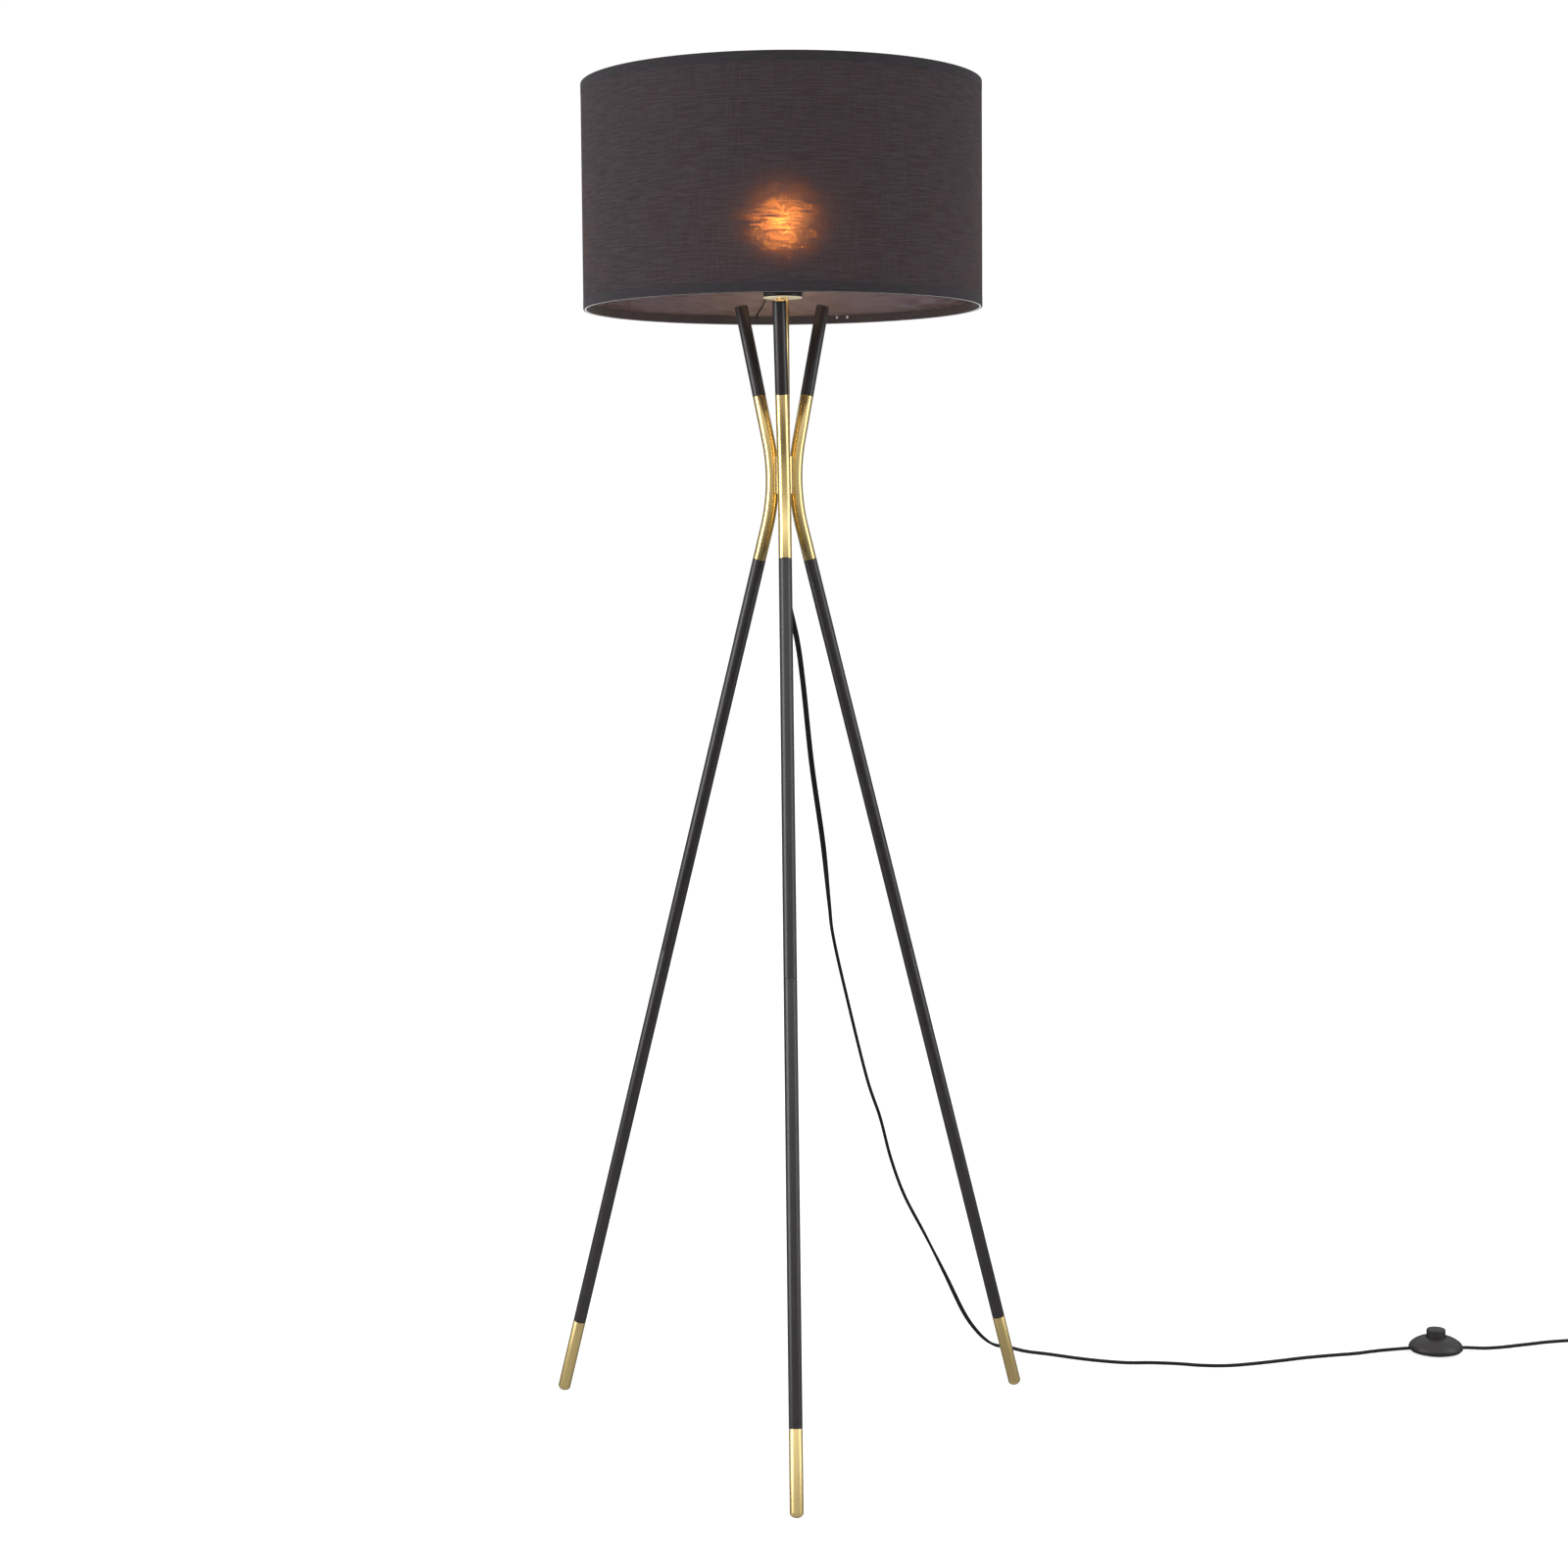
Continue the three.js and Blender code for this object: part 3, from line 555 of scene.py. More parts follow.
# From the stem's gland, down behind the right-hand leg and over the floor to the foot switch.
# Millimetres, about the stem's axis.
HANGING_ROUTE = [
    (0, 0, CORD_START), (0, 0, 992), (0, 0, 978), (4.5, 5, 956), (14, 18, 913), (20.5, 26.5, 863),
    (29.8, 38.4, 771), (42.5, 54.8, 678), (49.6, 64, 606), (54.4, 70.5, 565), (71.1, 91.7, 488),
    (94.9, 122.4, 388), (111.7, 144, 335), (125, 161, 282), (142.8, 184, 230), (170.2, 219.5, 172),
    (196.8, 254, 114), (222, 286, 57), (240, 305, 27), (256, 317, 9), (268, 320.5, 2.6),
    (281, 316, FLOOR), (292, 304.5, FLOOR), (305, 293, FLOOR), (331, 280, FLOOR), (362, 262, FLOOR),
    (392, 248, FLOOR), (423, 238.5, FLOOR), (455, 237, FLOOR), (486, 231.5, FLOOR), (516, 222.5, FLOOR),
    (548, 220.6, FLOOR), (581, 228, FLOOR), (615, 239, FLOOR), (649, 251, FLOOR), (683, 260, FLOOR),
    (717, 267.5, FLOOR), (737, 275, 1.9), (756, 279.5, 2.4), (772, 278.5, 3.9),
    (SWITCH[0] - SWITCH_RADIUS - 1, SWITCH[1], ENTRY), (SWITCH[0] - SWITCH_RADIUS + 3, SWITCH[1], ENTRY),
]
# From the foot switch over the floor to the coil.
LEAD_ROUTE = [
    (SWITCH[0] + SWITCH_RADIUS - 3, SWITCH[1], ENTRY), (SWITCH[0] + SWITCH_RADIUS + 1, SWITCH[1], ENTRY),
    (869, 279.5, 3.9), (884, 282.5, 2.5), (898, 286, FLOOR), (914, 290, FLOOR), (930, 295.5, FLOOR),
    (947, 301, FLOOR), (964, 307, FLOOR), (981, 311.5, FLOOR), (1000, 315, FLOOR), (1022, 318.5, 2.2),
    (1040, 320.6, 2.7), (COIL[0] - 23.6, COIL[1] - COIL_OUTER, 2.8),
]
# From the coil's top turn to the plug.
TAIL_ROUTE = [
    (COIL[0] + 14, COIL[1] - COIL_OUTER, 6.25), (COIL[0] + 28.4, COIL[1] - COIL_OUTER, 6.3),
    (COIL[0] + 37, COIL[1] - COIL_OUTER, 6.5), (PLUG_X + 6, COIL[1] - COIL_OUTER, PLUG_Z),
]
TURNS = 3


def coil_route():
    """Three turns: out and in on the floor, then one on top of them."""
    for step in range(TURNS * 24 + 1):
        turn = 15 * step
        radius = COIL_OUTER - (COIL_OUTER - COIL_INNER) * (
            ease_between(turn, 270, 345) - ease_between(turn, 740, 930)
        )
        height = 2.8 + 3.5 * ease_between(turn, 560, 640)
        a = math.radians(turn - 90)
        yield COIL[0] + radius * math.cos(a), COIL[1] + radius * math.sin(a), height


def flex_section():
    """The flat flex's outline: two cores side by side in one sheath, with a groove between them."""
    reach = (FLEX_WIDTH - FLEX_THICK) / 2
    a = np.arange(28) * 2 * math.pi / 28
    across = FLEX_THICK / 2 * np.cos(a) + reach * np.sign(np.round(np.cos(a), 6))
    tall = FLEX_THICK / 2 * np.sin(a)
    groove = 0.25 * MM * np.exp(-((across / (0.7 * MM)) ** 2))
    return np.stack([across, tall - np.sign(tall) * groove], axis=1)


def flex_direction(line):
    """The way the flex's broad side lies: across the view at the top, on edge below, flat on the floor."""
    tangent = np.gradient(line, axis=0)
    flat = np.cross(UP, tangent)
    flat /= np.linalg.norm(flat, axis=1)[:, None].clip(1e-9)
    height = line[:, 2]
    edge_on = ease_between(height, 0.72, 0.56)[:, None]
    lying = ease_between(height, 0.20, 0.05)[:, None]
    hanging = (1 - edge_on) * np.array((1.0, 0, 0)) + edge_on * np.array((0.15, 1.0, 0))
    return (1 - lying) * hanging + lying * flat


def make_cord(name, route, node, stands_for):
    line = smooth_line([AXIS + np.array(p) * MM for p in route], 4 * MM)
    made = piece(name, swept(line, flex_section(), flex_direction(line)), node, stands_for=stands_for)
    return line


def make_cords():
    make_cord(
        "flex_to_switch", HANGING_ROUTE, "cord_hanging", ["cord_hanging"],
    )
    make_cord(
        "flex_to_plug", [*LEAD_ROUTE, *coil_route(), *TAIL_ROUTE], "cord_coil",
        ["cord_lead", "cord_coil", "cord_tail"],
    )


def make_strain_relief():
    """A tapered sleeve with rings that let it bend."""
    bottom, top = levels("cord_sleeve")
    tall = top - bottom
    outline = [(3.5 * MM, bottom), (4.1 * MM, bottom)]
    for k in range(7):
        z = bottom + tall * (0.1 + 0.1 * k)
        radius = (4.2 + 0.12 * k) * MM
        outline += [(radius, z), (radius - 0.5 * MM, z + 0.6 * MM), (radius, z + 1.2 * MM)]
    outline += [(5.4 * MM, top - 4 * MM), (5.4 * MM, top), (3.5 * MM, top)]
    shape = moved(turned(eased(outline, 0.3 * MM)), AXIS)
    piece("strain_relief", shape, "cord_sleeve")


def make_switch():
    centre = AXIS + SWITCH * MM
    seam = high("switch_base").z / MM
    outer = SWITCH_RADIUS
    dome = high("switch_cover").z / MM
    base = [(0, 0.6), (21, 0.6), (22, 0), (24.5, 0), (31.2, 2.1), (outer, seam), (outer - 2, seam)]
    base += [(30, 3.8), (23, 2), (0, 2)]
    cover = [(outer - 2, seam + 0.3), (outer - 0.4, seam + 0.3), (outer, seam + 1.1), (33.7, 7.8)]
    cover += [(32.6, 10.2), (30.6, 12.4), (26.8, 15.2), (21.8, 17.8), (17, 19.3), (14.2, dome)]
    cover += [(12.8, dome), (12.6, dome - 2), (19.2, 16.2), (25, 13.4), (29, 10.2)]
    top, flange = high("switch_button").z / MM, low("switch_button").z / MM
    radius = 12
    button = [(9.4, flange), (14, flange), (14, flange + 1.2), (radius, flange + 1.2)]
    button += [(radius, top - 1.6), (radius - 0.5, top - 0.5), (radius - 1.6, top), (9.6, top)]
    button += [(8, top - 0.5), (4.4, top - 0.85), (0, top - 0.9), (0, top - 3), (9.4, top - 3)]

    def ribs(angle, r, height):
        """Grip ribs round the button's side."""
        on_side = 11.5 * MM < r < 12.5 * MM and (flange + 1.5) * MM < height < (top - 1.4) * MM
        return r - (0.28 * MM * (0.5 - 0.5 * math.cos(36 * angle)) if on_side else 0)

    def scaled(outline, ease=0.35, **more):
        return moved(turned(eased(in_mm(outline), ease * MM), **more), centre)

    piece("switch_shell_base", scaled(base), "switch_base")
    piece("switch_shell_cover", scaled(cover), "switch_cover")
    piece("switch_push_button", scaled(button, 0.2, sides=288, ripple=ribs), "switch_button")


def make_spring():
    """The button's return spring, over its CAD solid."""
    start, end = low("switch_spring").z + 0.6 * MM, high("switch_spring").z - 0.6 * MM
    centre = AXIS + SWITCH * MM
    turn = np.linspace(0, 8 * math.pi, 193)
    rise = start + (end - start) * turn / turn[-1]
    line = np.stack([6 * MM * np.cos(turn), 6 * MM * np.sin(turn), rise], 1)
    piece("return_spring", swept(line + centre, circle(0.5 * MM, 12), UP), "switch_spring")


def shape_of(work):
    """The vertices and faces of a bmesh, which is then freed."""
    work.verts.index_update()
    shape = [tuple(v.co) for v in work.verts], [[v.index for v in f.verts] for f in work.faces]
    work.free()
    return shape


def refined(name, node, width):
    """A copy of a CAD node with rounded edges."""
    work = bmesh.new()
    work.from_mesh(frame["nodes"][node].data)
    bmesh.ops.remove_doubles(work, verts=work.verts, dist=1e-6)
    bmesh.ops.dissolve_limit(work, angle_limit=0.01, verts=work.verts, edges=work.edges)
    sharp = [e for e in work.edges if len(e.link_faces) == 2 and e.calc_face_angle() > math.radians(25)]
    bmesh.ops.bevel(work, geom=sharp, offset=width, segments=3, profile=0.5, affect="EDGES")
    piece(name, shape_of(work), node)


def make_plug():
    refined("plug_shell", "plug_body", 0.5 * MM)
    for side in ("left", "right"):
        node = f"plug_pin_{side}"
        start, end = low(node), high(node)
        base = (start.x, (start.y + end.y) / 2, (start.z + end.z) / 2)
        length = end.x - start.x
        collar = [(0, 0), (1.9, 0), (1.9, 10), (0, 10)]
        tip = [(0, 10.05), (2, 10.05), (2, length / MM - 1.2), (1.3, length / MM), (0, length / MM)]
        parts = [
            moved(turned(eased(in_mm(outline), 0.25 * MM), 32), base, (1, 0, 0))
            for outline in (collar, tip)
        ]
        prong = piece(f"plug_prong_{side}", joined(*parts), node)
        prong.data.materials.append(FINISHES["cord_plastic"].material)
        for face in prong.data.polygons:
            face.material_index = int(face.center.x < base[0] + 10.02 * MM)


def make_tie():
    """A coated wire wound twice round the coil's turns, with its ends twisted together on top."""
    inner, outer = COIL_INNER - 3.9, COIL_OUTER + 3.9
    reach, centre = (outer - inner) / 2, (outer + inner) / 2
    points = []
    for step in range(65):
        a = 2 * math.pi * 2 * step / 64
        across = np.clip(1.35 * reach * math.cos(a), -reach, reach)
        tall = np.clip(5.6 * math.sin(a), -3.7, 3.7)
        points.append((COIL[0] - 1.6 + 3.2 * step / 64, COIL[1] + centre + across, 4.62 + tall))
    line = smooth_line([AXIS + np.array(p) * MM for p in points], 1 * MM)
    wound = swept(line, circle(0.55 * MM, 12), (1, 0, 0))
    turn = np.linspace(0, 5 * math.pi, 60)
    ends = []
    for shift in (0, math.pi):
        twist = np.stack(
            [0.7 * np.cos(turn + shift), reach - 2 + 0.95 * turn, 8.75 + 0.7 * np.sin(turn + shift) * 0.5], 1
        )
        twist += np.array((COIL[0], COIL[1] + centre - reach - 4, 0.0))
        ends.append(swept(AXIS + twist * MM, circle(0.45 * MM, 10), UP))
    piece("twist_tie", joined(wound, *ends), "coil_tie", TIE_WIRE)


make_strain_relief()
make_switch()
make_spring()
make_plug()
make_tie()
make_cords()

# ---- Legs ----

BEND_RADIUS = 0.202
TUBE_RADIUS = 7.5 * MM
TUBE_BORE = 6.2 * MM
SPIGOT = 5.9 * MM
DOME = 5.5 * MM
SOLE_CUT = 0.35 * MM


def tube_ends(node):
    """The bottom and top of a straight tube's axis, and its direction upwards."""
    points = np.array([v.co for v in frame["nodes"][node].data.vertices], float)
    centre = (points.min(0) + points.max(0)) / 2
    along = np.linalg.svd(points - points.mean(0), full_matrices=False)[2][0]
    along = along * np.sign(along[2])
    reach = (points - centre) @ along
    return centre + along * reach.min(), centre + along * reach.max(), along


def make_tube(name, node):
    bottom, top, along = tube_ends(node)
    length = np.linalg.norm(top - bottom)
    outline = [(TUBE_BORE, 0), (TUBE_RADIUS, 0), (TUBE_RADIUS, length), (TUBE_BORE, length)]
    piece(name, moved(turned(eased(outline, 0.35 * MM)), bottom, along), node)
    return bottom, top, along


def make_cap(leg, top, along):
    """A rolled rim round a pale plug that fills the tube's end; the plug's pale brass is a painted highlight
    of the bulb's light on the cap's end.
    """
    rise = 1.2 * MM
    rim = [(SPIGOT, -6.5 * MM), (SPIGOT + 0.2 * MM, GAP), (TUBE_RADIUS, GAP)]
    rim = [(SPIGOT - 0.6 * MM, -6.5 * MM), *rim, (TUBE_RADIUS, GAP + rise), (SPIGOT - 0.1 * MM, GAP + rise)]
    plug = [(0, -6 * MM), (SPIGOT - 0.6 * MM, -6 * MM), (SPIGOT - 0.3 * MM, GAP + rise - 0.2 * MM)]
    plug.append((0, GAP + rise - 0.05 * MM))
    node = f"tube_cap_{leg}"
    piece(f"end_cap_{leg}", moved(turned(eased(rim, 0.3 * MM)), top, along), node)
    shape = moved(turned(eased(plug, 0.2 * MM)), top, along)
    # Pale brass here is a painted highlight: the bright end the cap shows where the bulb lights it.
    piece(f"end_plug_painted_highlight_{leg}", shape, node, FINISHES["socket_brass"], stands_for=[])


def bend_line(start, below, above, end):
    """A leg's centre line from the middle tube's top to the upper tube's bottom: line, arc, line."""
    turn = math.acos(float(below @ above))
    sideways = above - (above @ below) * below
    sideways /= np.linalg.norm(sideways)
    gap = end - start
    past = (gap @ sideways) / (above @ sideways)
    corner = end - above * past
    tangent = BEND_RADIUS * math.tan(turn / 2)
    first = corner - below * tangent
    steps = np.linspace(0, turn, 33)
    arc = first + BEND_RADIUS * (
        np.sin(steps)[:, None] * below + (1 - np.cos(steps))[:, None] * sideways
    )
    return np.array([start + below * GAP, *arc, end - above * GAP])


def spigoted(line):
    """A line and its radii with a reduced end that enters each neighbouring tube."""
    below = (line[1] - line[0]) / np.linalg.norm(line[1] - line[0])
    above = (line[-1] - line[-2]) / np.linalg.norm(line[-1] - line[-2])
    lead = [(-9 * MM, SPIGOT), (-0.01 * MM, SPIGOT), (0.0, TUBE_RADIUS - 0.3 * MM)]
    lead += [(0.12 * MM, TUBE_RADIUS - 0.09 * MM), (0.35 * MM, TUBE_RADIUS)]
    points = [line[0] + below * s for s, _ in lead] + list(line[1:-1])
    points += [line[-1] - above * s for s, _ in reversed(lead)]
    radii = [r for _, r in lead] + [TUBE_RADIUS] * (len(line) - 2) + [r for _, r in reversed(lead)]
    return np.array(points), radii


BEND_LINES = {}


def make_bend(leg, middle_top, below, upper_bottom, above):
    line = bend_line(middle_top, below, above, upper_bottom)
    BEND_LINES[leg] = line
    points, radii = spigoted(line)
    sections = np.array([circle(r, ROUND) for r in radii])
    plane = np.cross(below, above)
    piece(f"waist_tube_{leg}", swept(points, sections, plane), f"leg_bend_{leg}")


def make_foot(leg, tube_bottom, along):
    """A ferrule with a domed end, cut flat where it stands."""
    down = -along
    lean = math.acos(float(along[2]))
    support = math.hypot(TUBE_RADIUS * math.sin(lean), DOME * math.cos(lean))
    centre = (tube_bottom[2] - support + SOLE_CUT) / math.cos(lean)
    outline = [(0, -10 * MM), (SPIGOT, -10 * MM), (SPIGOT, GAP), (TUBE_RADIUS - 0.35 * MM, GAP)]
    outline += [(TUBE_RADIUS - 0.1 * MM, GAP + 0.12 * MM), (TUBE_RADIUS, GAP + 0.4 * MM)]
    for a in np.linspace(0, math.pi / 2, 17)[:-1]:
        outline.append((TUBE_RADIUS * math.cos(a), centre + DOME * math.sin(a)))
    outline.append((0, centre + DOME))
    vertices, faces = moved(turned(outline), tube_bottom, down)
    sole = bmesh.new()
    made = [sole.verts.new(v) for v in vertices]
    for face in faces:
        sole.faces.new([made[i] for i in face])
    geometry = [*sole.verts, *sole.edges, *sole.faces]
    cut = bmesh.ops.bisect_plane(
        sole, geom=geometry, plane_co=(0, 0, 0.01 * MM), plane_no=(0, 0, -1), clear_outer=True
    )
    edge = [e for e in cut["geom_cut"] if isinstance(e, bmesh.types.BMEdge)]
    bmesh.ops.contextual_create(sole, geom=edge)
    piece(f"ferrule_{leg}", shape_of(sole), f"foot_{leg}")


for leg in LEGS:
    upper_bottom, upper_top, above = make_tube(f"crown_tube_{leg}", f"upper_tube_{leg}")
    _, middle_top, below = make_tube(f"thigh_tube_{leg}", f"middle_tube_{leg}")
    lower_bottom, _, _ = make_tube(f"shin_tube_{leg}", f"lower_tube_{leg}")
    make_cap(leg, upper_top, above)
    make_bend(leg, middle_top, below, upper_bottom, above)
    make_foot(leg, lower_bottom, below)

# ---- Hub, stem and lampholder ----


def about_stem(name, outline, node, ease=0.3, finish=None, stands_for=None, **more):
    """A piece turned about the stem's axis, from an outline in metres."""
    shape = moved(turned(eased(outline, ease * MM), **more), AXIS)
    return piece(name, shape, node, finish, stands_for)


def make_stem():
    for name, node in (("stem_tube_upper", "stem_upper"), ("stem_tube_lower", "stem_lower")):
        bottom, top = levels(node)
        about_stem(name, ring(5, 7, bottom, top), node)
    bottom, top = levels("stem_gland")
    shoulder = low("stem_lower").z - GAP
    outline = [(3.3, bottom), (6.6, bottom), (7, bottom + 0.8 * MM), (7, shoulder), (4.7, shoulder)]
    outline += [(4.7, top), (3.3, top)]
    about_stem("cord_gland", [(r * MM, z) for r, z in outline], "stem_gland", 0.2)


def make_hub():
    """The brass drum between the bends, with a groove for each of them."""
    bottom, top = levels("waist_hub")
    neck = 12 * MM
    outline = [(3.5 * MM, bottom), (4.7 * MM, bottom), (4.7 * MM, bottom + neck), (11.5 * MM, bottom + neck)]
    outline += [(11.5 * MM, top - neck), (4.7 * MM, top - neck), (4.7 * MM, top), (3.5 * MM, top)]
    hub = about_stem("hub_drum", outline, "waist_hub", 0.8, sides=96)
    for leg in LEGS:
        line = BEND_LINES[leg]
        plane = np.cross(line[1] - line[0], line[-1] - line[-2])
        groove = mesh_object("groove", swept(line, circle(TUBE_RADIUS + 0.15 * MM, 48), plane))
        carve = hub.modifiers.new("carve", "BOOLEAN")
        carve.operation = "DIFFERENCE"
        carve.solver = "EXACT"
        carve.object = groove
        bpy.context.view_layer.update()
        graph = bpy.context.evaluated_depsgraph_get()
        carved = bpy.data.meshes.new_from_object(hub.evaluated_get(graph))
        hub.modifiers.clear()
        hub.data = carved
        bpy.data.objects.remove(groove)
    shade(hub.data)


def thread_ripple(pitch, depth, start, end):
    """A screw thread on the part of an outline between two heights."""

    def ripple(angle, radius, height):
        if not start < height < end:
            return radius
        fade = min(1.0, (height - start) / pitch, (end - height) / pitch)
        return radius - depth * fade * (0.5 + 0.5 * math.sin(2 * math.pi * height / pitch - angle))

    return ripple


def with_rings(radius, start, end, step):
    """Points up a straight wall, close enough together to carry a thread."""
    return [(radius, z) for z in np.arange(start, end, step)] + [(radius, end)]


def make_lampholder():
    bottom, top = levels("socket_plate")
    edge = high("socket_plate").x - AXIS[0]
    outline = [(5 * MM, bottom), (edge, bottom), (edge, top), (5 * MM, top)]
    # The disc takes the finish with the painted reflection of the floor.
    about_stem("brass_disc", outline, "socket_plate", 0.4, finish=DISC_PAINTED_REFLECTION)

    base, top = levels("lampholder_skirt")
    flange = base + 5.6 * MM
    wide, body = 22 * MM, 19.6 * MM
    outline = [(5 * MM, base), (wide, base), (wide, flange), (body, flange)]
    outline += with_rings(body, flange + 0.4 * MM, top - 1.2 * MM, 0.3 * MM)
    outline += [(body - 0.8 * MM, top), (17.5 * MM, top)]
    outline += in_mm([(17.5, 4.7), (5, 4.7)], base)
    shape = turned(
        [*eased(outline[:4], 1.2 * MM, closed=False), *outline[4:]],
        96, thread_ripple(2.2 * MM, 0.5 * MM, flange + 1 * MM, top - 1.5 * MM),
    )
    piece("holder_body", moved(shape, AXIS), "lampholder_skirt")

    base, top = levels("lampholder_core")
    outline = [(0, base), (17.2 * MM, base), (17.2 * MM, top), (14.3 * MM, top)]
    outline += [(14.3 * MM, base + 7 * MM), (0, base + 7 * MM)]
    about_stem("holder_core", outline, "lampholder_core", 0.6)

    base, top = levels("thread_shell")
    about_stem("holder_shell", ring(13.45, 13.95, base, top), "thread_shell", 0.1)

    base, top = levels("centre_contact")
    outline = [(0, base), (3 * MM, base), (2.6 * MM, top), (0, top)]
    about_stem("holder_contact", outline, "centre_contact", 0.4)

    base, top = levels("shade_nut")

    def grips(angle, radius, height):
        if radius < 24 * MM:
            return radius
        return radius - 1.1 * MM * max(0.0, math.cos(18 * angle)) ** 2

    rim = high("shade_nut").x - AXIS[0]
    outline = [(20 * MM, base), (rim, base), (rim, top), (20 * MM, top)]
    about_stem("ring_nut", outline, "shade_nut", 0.7, sides=216, ripple=grips)


make_stem()
make_hub()
make_lampholder()

# ---- Bulb ----


def make_bulb():
    glass_bottom, glass_top = levels("bulb_glass")
    radius = 30 * MM
    centre = glass_top - radius
    outline = [(12.1 * MM, glass_bottom), (12.1 * MM, glass_bottom + 8 * MM)]
    neck = smooth_line(
        [(12.1, 8, 0), (12.9, 13, 0), (15.6, 21.5, 0), (20.5, 33, 0), (25.2, 43.2, 0), (28.4, 51, 0)], 1.5
    )
    outline += [(r * MM, glass_bottom + z * MM) for r, z, _ in neck[1:-1]]
    for a in np.linspace(-0.3, math.pi / 2, 25)[:-1]:
        outline.append((radius * math.cos(a), centre + radius * math.sin(a)))
    outline.append((0, glass_top))
    inside = [(max(r - 1 * MM, 0), z - (1 * MM if r < 1e-7 else 0)) for r, z in reversed(outline)]
    piece("bulb_envelope", moved(turned([*outline[::-1], *inside[::-1]]), AXIS), "bulb_glass", sharp=60)

    base, top = levels("bulb_cap")
    rings = with_rings(13 * MM, base + 1 * MM, top - 1 * MM, 0.25 * MM)
    outline = [(12.2 * MM, base), *rings, (12.7 * MM, top), (12.2 * MM, top)]
    thread = thread_ripple(3.629 * MM, 0.45 * MM, base + 0.8 * MM, top - 2 * MM)
    piece("bulb_screw_cap", moved(turned(outline, 96, thread), AXIS), "bulb_cap")

    base = low("bulb_filament").z
    stalk = [(0, 0), (11.5, 0), (11.5, 12), (8, 16), (4.6, 18.5), (4.2, 36), (5.2, 41), (8.2, 44.6), (0, 45)]
    core = [(0, 45.3), (8.4, 45.3), (11.4, 50), (12.4, 58), (12, 66), (9.8, 73), (6, 77), (0, 78.5)]
    for name, points, finish, stands_for in (
        ("bulb_stalk", stalk, None, ["bulb_filament"]),
        ("bulb_core", core, BULB_CORE, []),
    ):
        about_stem(name, in_mm(points, base), "bulb_filament", 1.5, finish=finish, stands_for=stands_for)

    base, top = levels("bulb_tip")
    outline = [(0, base), (4.3 * MM, base), (5 * MM, base + 0.6 * MM), (10.8 * MM, top), (0, top)]
    about_stem("bulb_contact", outline, "bulb_tip", 0.2)


make_bulb()

# ---- Shade ----

SHADE_RADIUS = (high("shade_fabric").x - low("shade_fabric").x) / 2
SHADE_BOTTOM = low("hem_bottom").z
SHADE_TOP = high("hem_top").z
SHADE_SIDES = 192
RIM = 0.9 * MM  # how far the cloth's edge stands from the hem's


def wall(name, node, radius, bottom, top, finish=None):
    """A sheet bent into a drum, with a UV map in metres."""
    rows = 12
    vertices, faces = [], []
    for i in range(rows + 1):
        z = bottom + (top - bottom) * i / rows
        for j in range(SHADE_SIDES):
            a = 2 * math.pi * j / SHADE_SIDES
            vertices.append((AXIS[0] + radius * math.cos(a), AXIS[1] + radius * math.sin(a), z))
    for i in range(rows):
        for j in range(SHADE_SIDES):
            k = (j + 1) % SHADE_SIDES
            here, over = i * SHADE_SIDES, (i + 1) * SHADE_SIDES
            faces.append((here + j, here + k, over + k, over + j))
    made = piece(name, (vertices, faces), node, finish)
    lay = made.data.uv_layers.new(name="cloth")
    for face in made.data.polygons:
        corners = [made.data.vertices[i].co for i in face.vertices]
        turns = [math.atan2(y - AXIS[1], x - AXIS[0]) % (2 * math.pi) for x, y, _ in corners]
        wrapped = max(turns) - min(turns) > math.pi
        for loop, corner, turn in zip(face.loop_indices, corners, turns):
            turn += 2 * math.pi if wrapped and turn < math.pi else 0
            lay.data[loop].uv = (turn * radius, corner.z)
    return made


def make_walls():
    cloth = wall("drum_cloth", "shade_fabric", SHADE_RADIUS, SHADE_BOTTOM + RIM, SHADE_TOP - RIM)
    wall("drum_lining", "shade_liner", SHADE_RADIUS - 1.1 * MM, SHADE_BOTTOM + RIM, SHADE_TOP - RIM)


def make_hem(name, node, edge, inward):
    """The cloth rolled over an edge and down the inside, and a pale rim in the roll: partly the lining
    sheet's own edge, partly a painted highlight of light on the shade's edge.
    """
    inner = 217.8 * MM

    def at(out, down, face=SHADE_RADIUS):
        """A point some millimetres outside a face of the drum and in from the shade's edge."""
        return face + out * MM, edge + inward * down * MM

    roll = [at(0, 10, inner), at(0, 1.1, inner), at(1, 0, inner), at(-3.1, 0.15), at(-3.1, 1)]
    roll += [at(1.4, 1.2, inner), at(0.6, 1.6, inner), at(0.6, 10, inner)]
    # The hem takes the darker cloth, which holds painted shade.
    about_stem(name, roll, node, 0.3, sides=SHADE_SIDES, finish=HEM_CLOTH_SHADED)
    lip = [at(-1.5, 1.8), at(-1.5, 0.15), at(-0.6, 0), at(0.05, 0.3), at(0.15, 1.2), at(0.15, 10)]
    lip += [at(0.02, 10), at(0.02, 1.8)]
    about_stem(f"{name}_fold", lip, node, 0.15, sides=SHADE_SIDES, finish=HEM_CLOTH_SHADED, stands_for=[])
    # Pale rim: the lining's edge, with a painted highlight in its colour.
    rim = [at(-3.1, 0.2), at(-1.5, 0.05), at(-1.5, 1.6), at(-3.1, 1.6)]
    about_stem(f"{name}_rim", rim, node, 0.15, sides=SHADE_SIDES, finish=RIM_EDGE_AND_HIGHLIGHT, stands_for=[])


ARM_AZIMUTHS = (97.5, 217.5, 337.5)
RING_RADIUS = 221 * MM
WIRE_RADIUS = 1.3 * MM
SPIDER_LEVEL = low("shade_nut").z - 1.7 * MM + WIRE_RADIUS  # of the arms' centre lines at the middle
HOOP_TOP = middle("shade_top_ring").z
HOOP_BOTTOM = SHADE_BOTTOM + (SHADE_TOP - HOOP_TOP)
ARM_KNEE, ARM_SHIN = 1.305, 1.3014  # heights of an arm just before it meets the lower hoop


